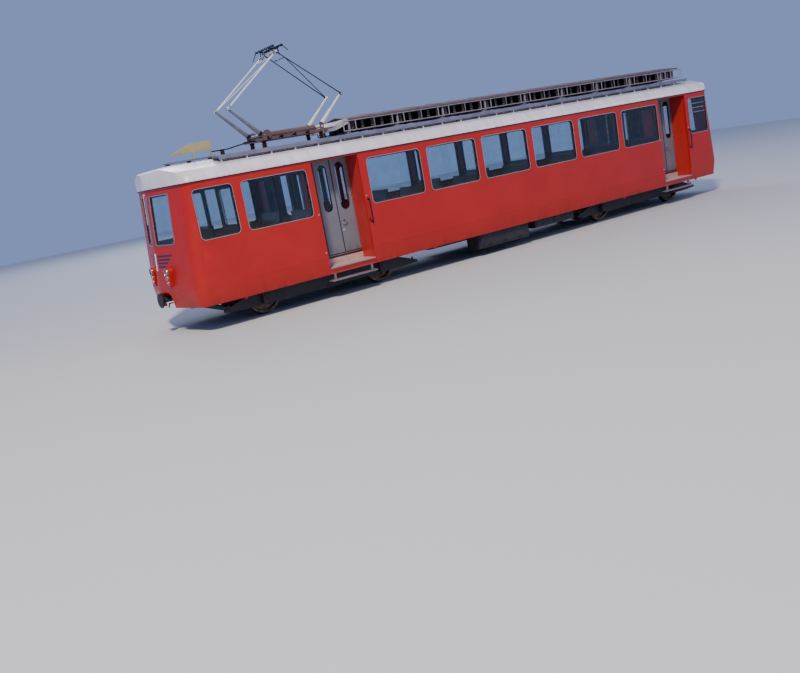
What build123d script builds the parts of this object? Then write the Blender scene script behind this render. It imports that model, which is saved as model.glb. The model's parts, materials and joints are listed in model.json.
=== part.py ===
from build123d import *
from math import cos, pi, radians, tan
import os

os.makedirs("parts", exist_ok=True)

# Rack railway railcar with two cabs, recessed doors, roof resistors and a diamond pantograph.
# Millimetres. +X points to the uphill end, -Y is the side with the name band, +Z is up.
# The origin is on the floor plane under the middle of the car, at the bottom of the wheel flanges.

# Body shell: heights above the flange bottoms, widths and lengths
BODY_WIDTH = 2800
WALL = 60
SKIRT_Z = 530
CREASE_Z = 900
CANT_Z = 2890
SKIRT_TUCK = 50
PROW_CREASE = 8330
PROW_RAKE = 170
PROW_TUCK = 50
PROW_CANT = PROW_CREASE - PROW_RAKE
PROW_SKIRT = PROW_CREASE - PROW_TUCK
PROW_SWEEP = 11.5
CORNER_RADIUS = 100
HALF_WIDTH = BODY_WIDTH / 2

# Floors and steps
FLOOR_Z = 1000
FLOOR_THICK = 40
THRESHOLD_Z = 850
TREAD_Z = 665
TREAD_THICK = 30
FOOTBOARD_Z = 406
FOOTBOARD_THICK = 30
FOOTBOARD_DEPTH = 190

# Windows
WINDOW_LOW = 1790
WINDOW_HIGH = 2760
WINDOW_RADIUS = 90
SALOON_WINDOW = 1415
SALOON_PITCH = 1608
SALOON_WINDOWS = 6
SALOON_FIRST_X = -3103
SCREEN_INNER_Y = 95
SCREEN_OUTER_Y = 775
SCREEN_LOW = 1810
SCREEN_HIGH = 2770
SCREEN_RADIUS = 45
GLASS_THICK = 6
GLASS_INSET = 22
SEAT_GAP = 0.3

# Cab windows keep their distance behind the prow; columns: centre x, width
VALLEY_CAB_WINDOW_SETBACK = 976
MOUNTAIN_CAB_WINDOW_SETBACK = 949
CAB_WINDOWS = (
    (VALLEY_CAB_WINDOW_SETBACK - PROW_CREASE, 832),
    (PROW_CREASE - MOUNTAIN_CAB_WINDOW_SETBACK, 774))
LOBBY_WINDOW = (-6020, 1469)

# Doorways: recess centres, and the door leaves in them
DOORWAY_WIDTH = 1135
DOORWAY_CENTRES = (-4569, 6290)
RECESS_DEPTH = 495
REVEAL_THICK = 40
LEAF_WIDTH = 410
LEAF_THICK = 36
LEAF_TOP = 2866
DOOR_GAP = 12
LEAF_WINDOW_WIDTH = 225
LEAF_WINDOW_LOW = 1770
LEAF_WINDOW_HIGH = 2790

# Roof
ROOF_OVERHANG = 12
VISOR_REACH = 25
ROOF_VISOR = PROW_CANT + VISOR_REACH
GUTTER_TOP = 2935
SHOULDER_Y = 1090
SHOULDER_Z = 3160
ROOF_TOP = 3300
ROOF_THICK = 40
ROOF_NOSE_Z = 3215
ROOF_NOSE_RUN = 700

# Running gear
BOGIE_X = 5050
WHEELBASE = 2900
WHEEL_TREAD_R = 390
FLANGE_HEIGHT = 30
BACK_TO_BACK = 1360
WHEEL_WIDTH = 135
AXLE_R = 70
JOURNAL_R = 55
JOURNAL_END = 1040
RACK_PITCH = 100
COG_TEETH = 21
COG_WIDTH = 100
AXLE_Z = WHEEL_TREAD_R + FLANGE_HEIGHT

part_names = []


def save(piece, label):
    """Label a finished sub-part and write its STEP file."""
    piece.part.label = label
    export_step(piece.part, f"parts/{label}.step")
    part_names.append(label)


def body_plan(level, ridge, half_width):
    """Outline of the body at one height: prow ends, straight sides and rounded corners."""
    shoulder = ridge - half_width * tan(radians(PROW_SWEEP))
    with BuildSketch(Plane.XY.offset(level)) as outline:
        with BuildLine():
            Polyline(
                (ridge, 0), (shoulder, half_width), (-shoulder, half_width),
                (-ridge, 0), (-shoulder, -half_width), (shoulder, -half_width), close=True)
        make_face()
        fillet(outline.vertices().filter_by(lambda v: abs(v.Y) > 1), CORNER_RADIUS)
    return outline.sketch


def body_hull(inset):
    """Solid body between skirt and cantrail, moved inwards by one distance."""
    ridge_inset = inset / cos(radians(PROW_SWEEP))
    levels = (
        (SKIRT_Z, PROW_SKIRT, HALF_WIDTH - SKIRT_TUCK),
        (CREASE_Z, PROW_CREASE, HALF_WIDTH),
        (CANT_Z, PROW_CANT, HALF_WIDTH))
    sections = [body_plan(z, ridge - ridge_inset, half - inset) for z, ridge, half in levels]
    with BuildPart() as hull:
        loft(sections, ruled=True)
    return hull.part


hull_outside = body_hull(0)
hull_inside = body_hull(WALL)
with BuildPart() as wall_ring:
    add(hull_outside)
    add(hull_inside, mode=Mode.SUBTRACT)

saloon_window_xs = [SALOON_FIRST_X + SALOON_PITCH * i for i in range(SALOON_WINDOWS)]
side_windows = [*CAB_WINDOWS, LOBBY_WINDOW, *[(x, SALOON_WINDOW) for x in saloon_window_xs]]
WINDOW_HEIGHT = WINDOW_HIGH - WINDOW_LOW
WINDOW_MID = (WINDOW_HIGH + WINDOW_LOW) / 2
SCREEN_WIDTH = SCREEN_OUTER_Y - SCREEN_INNER_Y
SCREEN_MID_Y = (SCREEN_OUTER_Y + SCREEN_INNER_Y) / 2
SCREEN_HEIGHT = SCREEN_HIGH - SCREEN_LOW
SCREEN_MID_Z = (SCREEN_HIGH + SCREEN_LOW) / 2


def side_window_outlines(margin):
    """Outlines of every side window in side view, smaller by a margin all round."""
    with BuildSketch() as outlines:
        for x, width in side_windows:
            with Locations((x, WINDOW_MID)):
                RectangleRounded(width - 2 * margin, WINDOW_HEIGHT - 2 * margin, WINDOW_RADIUS - margin)
    return outlines.sketch


def screen_openings(margin):
    """Prisms along the car through the four windscreens, smaller by a margin all round."""
    with BuildPart() as prisms:
        with BuildSketch(Plane.YZ):
            with Locations((-SCREEN_MID_Y, SCREEN_MID_Z), (SCREEN_MID_Y, SCREEN_MID_Z)):
                RectangleRounded(SCREEN_WIDTH - 2 * margin, SCREEN_HEIGHT - 2 * margin, SCREEN_RADIUS - margin)
        extrude(amount=PROW_CREASE, both=True)
    return prisms.part


with BuildPart() as window_cuts:
    with BuildSketch(Plane.XZ):
        add(side_window_outlines(0))
    extrude(amount=BODY_WIDTH, both=True)
screen_cuts = screen_openings(0)

# Where the body panels meet: between the cab windows and the lobby, and at the doorways
doorway_edges = [(x - DOORWAY_WIDTH / 2, x + DOORWAY_WIDTH / 2) for x in DOORWAY_CENTRES]
CAB_SEAM_X = -6846
# columns: name, low x, high x, low y, high y
wall_panels = (
    ("end_shell_valley", -PROW_CREASE, CAB_SEAM_X, -HALF_WIDTH, HALF_WIDTH),
    ("end_shell_mountain", doorway_edges[1][1], PROW_CREASE, -HALF_WIDTH, HALF_WIDTH),
    ("side_wall_near_lobby", CAB_SEAM_X, doorway_edges[0][0], -HALF_WIDTH, 0),
    ("side_wall_far_lobby", CAB_SEAM_X, doorway_edges[0][0], 0, HALF_WIDTH),
    ("side_wall_near_saloon", doorway_edges[0][1], doorway_edges[1][0], -HALF_WIDTH, 0),
    ("side_wall_far_saloon", doorway_edges[0][1], doorway_edges[1][0], 0, HALF_WIDTH))

COUPLER_Z = 700
NOTCH_HALF = 330
NOTCH_TOP = 850
NOTCH_RADIUS = 120
for label, low_x, high_x, low_y, high_y in wall_panels:
    with BuildPart() as panel:
        add(wall_ring.part)
        with Locations(((low_x + high_x) / 2, (low_y + high_y) / 2, (SKIRT_Z + CANT_Z) / 2)):
            Box(high_x - low_x, high_y - low_y, CANT_Z - SKIRT_Z, mode=Mode.INTERSECT)
        add(window_cuts.part, mode=Mode.SUBTRACT)
        if label.startswith("end_shell"):
            add(screen_cuts, mode=Mode.SUBTRACT)
            with BuildSketch(Plane.YZ):
                with Locations((0, SKIRT_Z)):
                    RectangleRounded(2 * NOTCH_HALF, 2 * (NOTCH_TOP - SKIRT_Z), NOTCH_RADIUS)
            extrude(amount=PROW_CREASE, both=True, mode=Mode.SUBTRACT)
    save(panel, label)

# Glass: flat side panes stand in the openings, and the windscreens follow the prow
with BuildPart() as side_glass:
    with BuildSketch(Plane.XZ.offset(HALF_WIDTH - GLASS_INSET - GLASS_THICK)):
        add(side_window_outlines(SEAT_GAP))
    extrude(amount=GLASS_THICK)
    mirror(about=Plane.XZ)
save(side_glass, "side_glass")
with BuildPart() as windscreens:
    add(body_hull(GLASS_INSET))
    add(body_hull(GLASS_INSET + GLASS_THICK), mode=Mode.SUBTRACT)
    add(screen_openings(SEAT_GAP), mode=Mode.INTERSECT)
save(windscreens, "windscreens")


# The plan and the side view stand this far outside the arched section, so they cross it and never graze it
CORNER_EASE = 6


def roof_block(inset):
    """Roof form: an arched section cut to the prow plan and to the rounded nose in side view."""
    half = HALF_WIDTH + ROOF_OVERHANG - inset
    top = ROOF_TOP - inset
    shoulder_y = SHOULDER_Y - inset / 2
    shoulder_z = SHOULDER_Z - inset
    mid_y = (half + shoulder_y) / 2 + 45
    mid_z = (GUTTER_TOP + shoulder_z) / 2 + 45
    with BuildPart() as block:
        with BuildSketch(Plane.YZ):
            with BuildLine():
                Polyline((-half, GUTTER_TOP), (-half, CANT_Z), (half, CANT_Z), (half, GUTTER_TOP))
                ThreePointArc((half, GUTTER_TOP), (mid_y, mid_z), (shoulder_y, shoulder_z))
                ThreePointArc((shoulder_y, shoulder_z), (0, top), (-shoulder_y, shoulder_z))
                ThreePointArc((-shoulder_y, shoulder_z), (-mid_y, mid_z), (-half, GUTTER_TOP))
            make_face()
        extrude(amount=ROOF_VISOR + 100, both=True)
        extrude(
            body_plan(CANT_Z, ROOF_VISOR - inset, half + CORNER_EASE), amount=ROOF_TOP, mode=Mode.INTERSECT)
        nose = ROOF_VISOR - inset
        nose_z = ROOF_NOSE_Z - inset
        flat = nose - ROOF_NOSE_RUN
        bend_x = flat + ROOF_NOSE_RUN * 0.55
        bend_z = nose_z + (top - nose_z) * 0.7
        with BuildSketch(Plane.XZ):
            with BuildLine():
                Polyline((-nose, nose_z), (-nose, CANT_Z), (nose, CANT_Z), (nose, nose_z))
                ThreePointArc((nose, nose_z), (bend_x, bend_z), (flat, top + CORNER_EASE))
                Line((flat, top + CORNER_EASE), (-flat, top + CORNER_EASE))
                ThreePointArc((-flat, top + CORNER_EASE), (-bend_x, bend_z), (-nose, nose_z))
            make_face()
        extrude(amount=BODY_WIDTH, both=True, mode=Mode.INTERSECT)
    return block.part


with BuildPart() as roof:
    add(roof_block(0))
    add(roof_block(ROOF_THICK), mode=Mode.SUBTRACT)
save(roof, "roof")

# Recessed entries, welded from sheet panels: sill, tread, riser, threshold, well, cheeks, post and soffit
DOOR_FACE = HALF_WIDTH - RECESS_DEPTH
INNER_WALL = HALF_WIDTH - WALL
FRAME_BACK = DOOR_FACE - 60
WELL_BACK = 835
SOFFIT_THICK = 20
THRESHOLD_THICK = 10
POST_WIDTH = DOORWAY_WIDTH - 2 * LEAF_WIDTH - 3 * DOOR_GAP
RISER_THICK = 8
WELL_Z = THRESHOLD_Z - THRESHOLD_THICK
RISER_BACK = DOOR_FACE - RISER_THICK
WELL_RISER_Y = WELL_BACK + RISER_THICK
FLOOR_UNDER = FLOOR_Z - FLOOR_THICK


def box_between(low, high, mode=Mode.ADD):
    """A box given by its lowest and highest corners."""
    middle = tuple((a + b) / 2 for a, b in zip(low, high))
    with Locations(middle):
        Box(*[b - a for a, b in zip(low, high)], mode=mode)


for end, (low_x, high_x) in zip(("valley", "mountain"), doorway_edges):
    panel_low_x, panel_high_x = low_x + SEAT_GAP, high_x - SEAT_GAP
    tread_low = TREAD_Z - TREAD_THICK
    soffit_z = CANT_Z - SOFFIT_THICK
    with BuildPart() as sill:
        add(wall_ring.part)
        box_between((low_x, -HALF_WIDTH, SKIRT_Z), (high_x, 0, tread_low - SEAT_GAP), mode=Mode.INTERSECT)
    with BuildPart() as cheeks:
        for x in (low_x - REVEAL_THICK, high_x):
            cheek_end = x + REVEAL_THICK
            box_between((x, -INNER_WALL, tread_low), (cheek_end, -RISER_BACK, WELL_Z - SEAT_GAP))
            box_between((x, -INNER_WALL, WELL_Z), (cheek_end, -FRAME_BACK, CANT_Z))
            box_between((x, -FRAME_BACK + SEAT_GAP, WELL_Z), (cheek_end, -WELL_BACK, FLOOR_UNDER))
        add(hull_inside, mode=Mode.INTERSECT)
    # columns: x, y and z of the lowest corner, x, y and z of the highest one
    panels = (
        (panel_low_x, -HALF_WIDTH, tread_low, panel_high_x, -RISER_BACK, TREAD_Z),
        (panel_low_x, -DOOR_FACE, TREAD_Z + SEAT_GAP, panel_high_x, -RISER_BACK, WELL_Z - SEAT_GAP),
        (panel_low_x, -DOOR_FACE, WELL_Z, panel_high_x, -WELL_RISER_Y - SEAT_GAP, THRESHOLD_Z),
        (panel_low_x, -WELL_RISER_Y, WELL_Z, panel_high_x, -WELL_BACK, FLOOR_UNDER),
        (panel_low_x, -DOOR_FACE, THRESHOLD_Z + SEAT_GAP, low_x + POST_WIDTH, -FRAME_BACK, soffit_z - SEAT_GAP),
        (panel_low_x, -HALF_WIDTH, soffit_z, panel_high_x, -FRAME_BACK, CANT_Z))
    with BuildPart() as entry:
        add(sill.part)
        add(cheeks.part)
        for corners in panels:
            box_between(corners[:3], corners[3:])
        mirror(about=Plane.XZ)
    save(entry, f"entry_{end}")

# Floor: fills the shell at floor level and leaves the entry wells free
with BuildPart() as floor:
    add(hull_inside)
    box_between((-PROW_CREASE, -HALF_WIDTH, FLOOR_UNDER), (PROW_CREASE, HALF_WIDTH, FLOOR_Z), mode=Mode.INTERSECT)
    for low_x, high_x in doorway_edges:
        for low_y, high_y in ((-HALF_WIDTH, -WELL_BACK), (WELL_BACK, HALF_WIDTH)):
            box_between((low_x, low_y, 0), (high_x, high_y, FLOOR_Z), mode=Mode.SUBTRACT)
        for low_y, high_y in ((-HALF_WIDTH, -FRAME_BACK), (FRAME_BACK, HALF_WIDTH)):
            box_between(
                (low_x - REVEAL_THICK, low_y, 0), (high_x + REVEAL_THICK, high_y, FLOOR_Z),
                mode=Mode.SUBTRACT)
save(floor, "floor")

# Underframe: centre sills, cross members that lie on them, outer sills between the doorways and bolsters
SILL_LOW = 860
CENTRE_SILL_Y = 350
CENTRE_SILL_WIDTH = 100
OUTER_SILL_Y = 1240
OUTER_SILL_WIDTH = 90
SILL_SETBACK = 630
SILL_END = PROW_CREASE - SILL_SETBACK
BOLSTER_LOW = 760
BOLSTER_HALF_X = 250
BOLSTER_HALF_Y = 500
PIN_R = 70
PIN_LOW = 620
CROSS_WIDTH = 100
CROSS_HEIGHT = 50
END_MEMBER_X = SILL_END - CROSS_WIDTH / 2
cross_member_xs = (
    -END_MEMBER_X, -6950, -6250, -5500, -3850, -2400, -900, 520, 950, 2080, 3300, 4500, 5600, 7150,
    END_MEMBER_X)
# columns: low x, high x of the outer sills
outer_sill_runs = (
    (-SILL_END, doorway_edges[0][0] - REVEAL_THICK),
    (doorway_edges[0][1] + REVEAL_THICK, doorway_edges[1][0] - REVEAL_THICK),
    (doorway_edges[1][1] + REVEAL_THICK, SILL_END))
sill_half = CENTRE_SILL_WIDTH / 2
outer_sill_inner_y = OUTER_SILL_Y - OUTER_SILL_WIDTH / 2
cross_half = CROSS_WIDTH / 2
CROSS_LOW = FLOOR_UNDER - CROSS_HEIGHT
with BuildPart() as centre_sills:
    for low_x, high_x in (
            (-SILL_END, -BOGIE_X - BOLSTER_HALF_X), (-BOGIE_X + BOLSTER_HALF_X, BOGIE_X - BOLSTER_HALF_X),
            (BOGIE_X + BOLSTER_HALF_X, SILL_END)):
        for y in (-CENTRE_SILL_Y, CENTRE_SILL_Y):
            box_between((low_x, y - sill_half, SILL_LOW), (high_x, y + sill_half, CROSS_LOW))
save(centre_sills, "centre_sills")
with BuildPart() as outer_sills:
    for y in (-OUTER_SILL_Y, OUTER_SILL_Y):
        half = OUTER_SILL_WIDTH / 2
        for low_x, high_x in outer_sill_runs:
            box_between((low_x, y - half, SILL_LOW), (high_x, y + half, FLOOR_UNDER))
save(outer_sills, "outer_sills")
with BuildPart() as cross_members:
    for x in cross_member_xs:
        box_between(
            (x - cross_half, -outer_sill_inner_y, CROSS_LOW), (x + cross_half, outer_sill_inner_y, FLOOR_UNDER))
save(cross_members, "cross_members")
with BuildPart() as bolsters:
    for x in (-BOGIE_X, BOGIE_X):
        box_between(
            (x - BOLSTER_HALF_X, -BOLSTER_HALF_Y, BOLSTER_LOW), (x + BOLSTER_HALF_X, BOLSTER_HALF_Y, FLOOR_UNDER))
        with Locations((x, 0, PIN_LOW)):
            Cylinder(PIN_R, BOLSTER_LOW - PIN_LOW, align=(Align.CENTER, Align.CENTER, Align.MIN))
save(bolsters, "bolsters")

# Couplers: draft box under the end of the centre sills, and a turned shank with a round buffer plate
DRAFT_BOX_SETBACK = 350
DRAFT_BOX_X = SILL_END - DRAFT_BOX_SETBACK
DRAFT_BOX_LENGTH = 420
DRAFT_BOX_HALF_HEIGHT = 110
BUFFER_REACH = 70
BUFFER_FACE_X = PROW_CREASE + BUFFER_REACH
BUFFER_R = 150
BUFFER_THICK = 45
BUFFER_ROUND = 10
SHANK_R = 55
SHANK_COLLAR_R = 85
SHANK_COLLAR_LENGTH = 60
draft_end_x = DRAFT_BOX_X + DRAFT_BOX_LENGTH
plate_x = BUFFER_FACE_X - BUFFER_THICK
# columns: x, radius
buffer_outline = (
    (draft_end_x, 0), (draft_end_x, SHANK_COLLAR_R), (draft_end_x + SHANK_COLLAR_LENGTH, SHANK_COLLAR_R),
    (draft_end_x + SHANK_COLLAR_LENGTH + 30, SHANK_R), (plate_x - 60, SHANK_R),
    (plate_x, BUFFER_R - 40), (plate_x + BUFFER_ROUND, BUFFER_R), (BUFFER_FACE_X - BUFFER_ROUND, BUFFER_R),
    (BUFFER_FACE_X, BUFFER_R - BUFFER_ROUND), (BUFFER_FACE_X, 0))
with BuildPart() as couplers:
    half_y = CENTRE_SILL_Y + sill_half
    box_between(
        (DRAFT_BOX_X, -half_y, COUPLER_Z - DRAFT_BOX_HALF_HEIGHT),
        (draft_end_x, half_y, COUPLER_Z + DRAFT_BOX_HALF_HEIGHT))
    for y in (-CENTRE_SILL_Y, CENTRE_SILL_Y):
        box_between((DRAFT_BOX_X, y - sill_half, COUPLER_Z), (DRAFT_BOX_X + CROSS_WIDTH, y + sill_half, SILL_LOW))
    with BuildSketch(Plane.XZ):
        with BuildLine():
            Polyline([(x, COUPLER_Z + radius) for x, radius in buffer_outline], close=True)
        make_face()
    revolve(axis=Axis((0, 0, COUPLER_Z), (1, 0, 0)))
    mirror(about=Plane.YZ)
save(couplers, "couplers")

# Footboards below the doorways, on two hangers each
HANGER_WIDTH = 40
HANGER_INSET = 80
with BuildPart() as footboards:
    for low_x, high_x in doorway_edges:
        box_between(
            (low_x, -HALF_WIDTH, FOOTBOARD_Z - FOOTBOARD_THICK),
            (high_x, -HALF_WIDTH + FOOTBOARD_DEPTH, FOOTBOARD_Z))
        for x in (low_x + HANGER_INSET, high_x - HANGER_INSET - HANGER_WIDTH):
            hanger_y = -HALF_WIDTH + SKIRT_TUCK
            box_between((x, hanger_y, FOOTBOARD_Z), (x + HANGER_WIDTH, hanger_y + WALL - 10, SKIRT_Z))
    mirror(about=Plane.XZ)
save(footboards, "footboards")

# Boxes under the floor; columns: name, low x, high x, low z, high z, x of the two hanger pairs
BOX_INNER_Y = 780
BOX_OUTER_Y = 1250
underfloor_boxes = (
    ("equipment_boxes", -990, 610, 185, 590, (-900, 520)),
    ("battery_boxes", 840, 2190, 330, 550, (950, 2080)))
LID_THICK = 25
for label, low_x, high_x, low_z, high_z, hanger_xs in underfloor_boxes:
    with BuildPart() as case:
        box_between((low_x, -BOX_OUTER_Y, low_z), (high_x, -BOX_INNER_Y, high_z))
        fillet(case.edges().filter_by(Axis.X), 30)
        box_between((low_x + 40, -BOX_OUTER_Y - 14, low_z + 60), (high_x - 40, -BOX_OUTER_Y, high_z - LID_THICK))
        half = HANGER_WIDTH / 2
        for x in hanger_xs:
            for y, top in ((-BOX_OUTER_Y + 50, SILL_LOW), (-BOX_INNER_Y - 50, CROSS_LOW)):
                box_between((x - half, y - half, high_z), (x + half, y + half, top))
        mirror(about=Plane.XZ)
    save(case, label)

# Jacking cups under the skirt
JACKING_XS = (-7100, -2350, 4060, 7100)
with BuildPart() as jacking_cups:
    cup_y = HALF_WIDTH - SKIRT_TUCK - WALL / 2
    with Locations([(x, y, SKIRT_Z) for x in JACKING_XS for y in (-cup_y, cup_y)]):
        Cone(24, 40, 40, align=(Align.CENTER, Align.CENTER, Align.MAX))
save(jacking_cups, "jacking_cups")

# Grab rails on the side wall beside each doorway
RAIL_LOW = 1400
RAIL_HIGH = 1930
RAIL_R = 13
RAIL_STANDOFF = 45
with BuildPart() as grab_rails:
    for low_x, high_x in doorway_edges:
        for side in (-1, 1):
            with Locations((high_x + 75, side * (HALF_WIDTH + RAIL_STANDOFF), RAIL_LOW)):
                Cylinder(RAIL_R, RAIL_HIGH - RAIL_LOW, align=(Align.CENTER, Align.CENTER, Align.MIN))
            for z in (RAIL_LOW + 20, RAIL_HIGH - 20):
                near, far = sorted((side * HALF_WIDTH, side * (HALF_WIDTH + RAIL_STANDOFF)))
                box_between((high_x + 67, near, z - 8), (high_x + 83, far, z + 8))
save(grab_rails, "grab_rails")

# Partitions with a middle passage and glazed upper panels; the cab side walls close the cabs
PARTITION_THICK = 30
PARTITION_TOP = 2850
PASSAGE_HALF = 330
PASSAGE_TOP = 2700
PARTITION_PANE_Y = 835
PARTITION_PANE_WIDTH = 760
PARTITION_PANE_HEIGHT = 780
PARTITION_PANE_RADIUS = 60
partition_lows = (
    CAB_SEAM_X - PARTITION_THICK / 2,
    doorway_edges[0][0] - REVEAL_THICK - PARTITION_THICK,
    doorway_edges[0][1] + REVEAL_THICK,
    doorway_edges[1][0] - REVEAL_THICK - PARTITION_THICK,
    doorway_edges[1][1] + REVEAL_THICK)
with BuildPart() as partitions:
    for low_x in partition_lows:
        high_x = low_x + PARTITION_THICK
        box_between((low_x, -INNER_WALL, FLOOR_Z), (high_x, INNER_WALL, PARTITION_TOP))
    box_between((-SILL_END, -PASSAGE_HALF, FLOOR_Z), (SILL_END, PASSAGE_HALF, PASSAGE_TOP), mode=Mode.SUBTRACT)
    with BuildSketch(Plane.YZ):
        with Locations((-PARTITION_PANE_Y, WINDOW_MID), (PARTITION_PANE_Y, WINDOW_MID)):
            RectangleRounded(PARTITION_PANE_WIDTH, PARTITION_PANE_HEIGHT, PARTITION_PANE_RADIUS)
    extrude(amount=SILL_END, both=True, mode=Mode.SUBTRACT)
save(partitions, "partitions")

# Benches: back to back pairs at the window pillars and single ones at the partitions
SEAT_HEIGHT = 430
SEAT_FRONT = 500
SEAT_REAR = 112
SEAT_THICK = 28
SEAT_DIP = 18
BACK_HEIGHT = 950
BACK_TOP_THICK = 28
BENCH_INNER_Y = 300
BENCH_OUTER_Y = 1325
LEG_INSET = 60
LEG_WIDTH = 40


def bench_outline(x, facing):
    """Side outline of one bench: a dished seat and a curved back that leans on the upright plane at x."""
    def at(u, v):
        return (x + facing * u, FLOOR_Z + v)

    seat_mid = (SEAT_FRONT + SEAT_REAR) / 2
    with BuildSketch() as outline:
        with BuildLine():
            Line(at(0, BACK_HEIGHT), at(BACK_TOP_THICK, BACK_HEIGHT))
            ThreePointArc(at(BACK_TOP_THICK, BACK_HEIGHT), at(60, 700), at(SEAT_REAR, SEAT_HEIGHT))
            ThreePointArc(
                at(SEAT_REAR, SEAT_HEIGHT), at(seat_mid, SEAT_HEIGHT - SEAT_DIP), at(SEAT_FRONT, SEAT_HEIGHT))
            ThreePointArc(
                at(SEAT_FRONT, SEAT_HEIGHT), at(SEAT_FRONT + SEAT_THICK / 2, SEAT_HEIGHT - SEAT_THICK / 2),
                at(SEAT_FRONT, SEAT_HEIGHT - SEAT_THICK))
            ThreePointArc(
                at(SEAT_FRONT, SEAT_HEIGHT - SEAT_THICK), at(seat_mid, SEAT_HEIGHT - SEAT_DIP - SEAT_THICK),
                at(SEAT_REAR - SEAT_THICK, SEAT_HEIGHT - SEAT_THICK))
            Polyline(at(SEAT_REAR - SEAT_THICK, SEAT_HEIGHT - SEAT_THICK), at(0, 620), at(0, BACK_HEIGHT))
        make_face()
    return outline.sketch


def leg_outline(x, facing):
    """Side outline of one bench leg, from the floor up into the seat and the back."""
    points = ((12, 0), (110, 0), (150, 395), (SEAT_REAR - SEAT_THICK, 415), (8, 610))
    with BuildSketch() as outline:
        with BuildLine():
            Polyline([(x + facing * u, FLOOR_Z + v) for u, v in points], close=True)
        make_face()
    return outline.sketch


pillar_xs = [SALOON_FIRST_X + SALOON_PITCH * (i + 0.5) for i in range(SALOON_WINDOWS - 1)]
# columns: x of the back plane, facing
bench_places = [(x, facing) for x in pillar_xs for facing in (-1, 1)]
bench_places += [
    (partition_lows[0] + PARTITION_THICK, 1), (partition_lows[1], -1),
    (partition_lows[2] + PARTITION_THICK, 1), (partition_lows[3], -1)]
with BuildPart() as benches:
    for low_y in (-BENCH_OUTER_Y, BENCH_INNER_Y):
        high_y = low_y + BENCH_OUTER_Y - BENCH_INNER_Y
        for outline_of, first_y, width in (
                (bench_outline, low_y, high_y - low_y),
                (leg_outline, low_y + LEG_INSET, LEG_WIDTH),
                (leg_outline, high_y - LEG_INSET - LEG_WIDTH, LEG_WIDTH)):
            with BuildSketch(Plane.XZ.offset(-first_y)):
                for x, facing in bench_places:
                    add(outline_of(x, facing))
            extrude(amount=-width)
save(benches, "benches")

# Driver desks with a controller column and its lever
DESK_SETBACK = 690
DESK_DEPTH = 390
DESK_BACK_X = PROW_CREASE - DESK_SETBACK
DESK_FRONT_X = DESK_BACK_X + DESK_DEPTH
DESK_HALF_Y = 640
DESK_TOP = 1760
with BuildPart() as driver_desks:
    with BuildSketch(Plane.XZ.offset(-DESK_HALF_Y)):
        with BuildLine():
            Polyline(
                (DESK_FRONT_X, FLOOR_Z), (DESK_FRONT_X, DESK_TOP), (DESK_FRONT_X - 120, DESK_TOP),
                (DESK_BACK_X, DESK_TOP - 90), (DESK_BACK_X, DESK_TOP - 190),
                (DESK_BACK_X + 160, DESK_TOP - 260), (DESK_BACK_X + 160, FLOOR_Z), close=True)
        make_face()
    extrude(amount=2 * DESK_HALF_Y)
    for y in (-420, 60):
        with Locations((DESK_BACK_X + 130, y, DESK_TOP - 70)):
            Cylinder(75, 100, align=(Align.CENTER, Align.CENTER, Align.MIN))
        with Locations(Location((DESK_BACK_X + 130, y, DESK_TOP + 10), (0, -60, 0))):
            Cylinder(11, 260, align=(Align.CENTER, Align.CENTER, Align.MIN))
    mirror(about=Plane.YZ)
save(driver_desks, "driver_desks")

# Headlamps: tapering housings with one large and two small lamps
LAMP_Y = 460
LAMP_TOP_Z = 1275
LAMP_LOW_Z = 1010
LAMP_TOP_R = 100
LAMP_LOW_R = 34
LAMP_SETBACK = 55
LAMP_ROOT = 315
LAMP_FACE_X = PROW_CREASE - LAMP_SETBACK
# columns: drop below the top lamp, radius of the rim
lamp_rows = ((0, 76), (118, 42), (212, 30))
RIM_DEPTH = 26
LENS_GAP = 9
lamp_spots = [(side * LAMP_Y, LAMP_TOP_Z - drop, radius) for side in (-1, 1) for drop, radius in lamp_rows]


def lamp_outline(y):
    """Front outline of one lamp housing: a large and a small circle with their tangents."""
    with BuildSketch() as outline:
        with Locations((y, LAMP_TOP_Z)):
            Circle(LAMP_TOP_R)
        with Locations((y, LAMP_LOW_Z)):
            Circle(LAMP_LOW_R)
        make_hull()
    return outline.sketch


with BuildPart() as headlamp_housings:
    with BuildSketch(Plane.YZ.offset(LAMP_FACE_X - LAMP_ROOT)):
        for side in (-1, 1):
            add(lamp_outline(side * LAMP_Y))
    extrude(amount=LAMP_ROOT)
    add(hull_outside, mode=Mode.SUBTRACT)
    mirror(about=Plane.YZ)
save(headlamp_housings, "headlamp_housings")
with BuildPart() as lamp_rims:
    with BuildSketch(Plane.YZ.offset(LAMP_FACE_X)):
        for y, z, radius in lamp_spots:
            with Locations((y, z)):
                Circle(radius)
                Circle(radius - LENS_GAP, mode=Mode.SUBTRACT)
    extrude(amount=RIM_DEPTH)
    mirror(about=Plane.YZ)
save(lamp_rims, "lamp_rims")
with BuildPart() as lamp_lenses:
    with BuildSketch(Plane.YZ.offset(LAMP_FACE_X)):
        for y, z, radius in lamp_spots:
            with Locations((y, z)):
                Circle(radius - LENS_GAP - SEAT_GAP)
    extrude(amount=RIM_DEPTH / 2)
    mirror(about=Plane.YZ)
save(lamp_lenses, "lamp_lenses")

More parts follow.
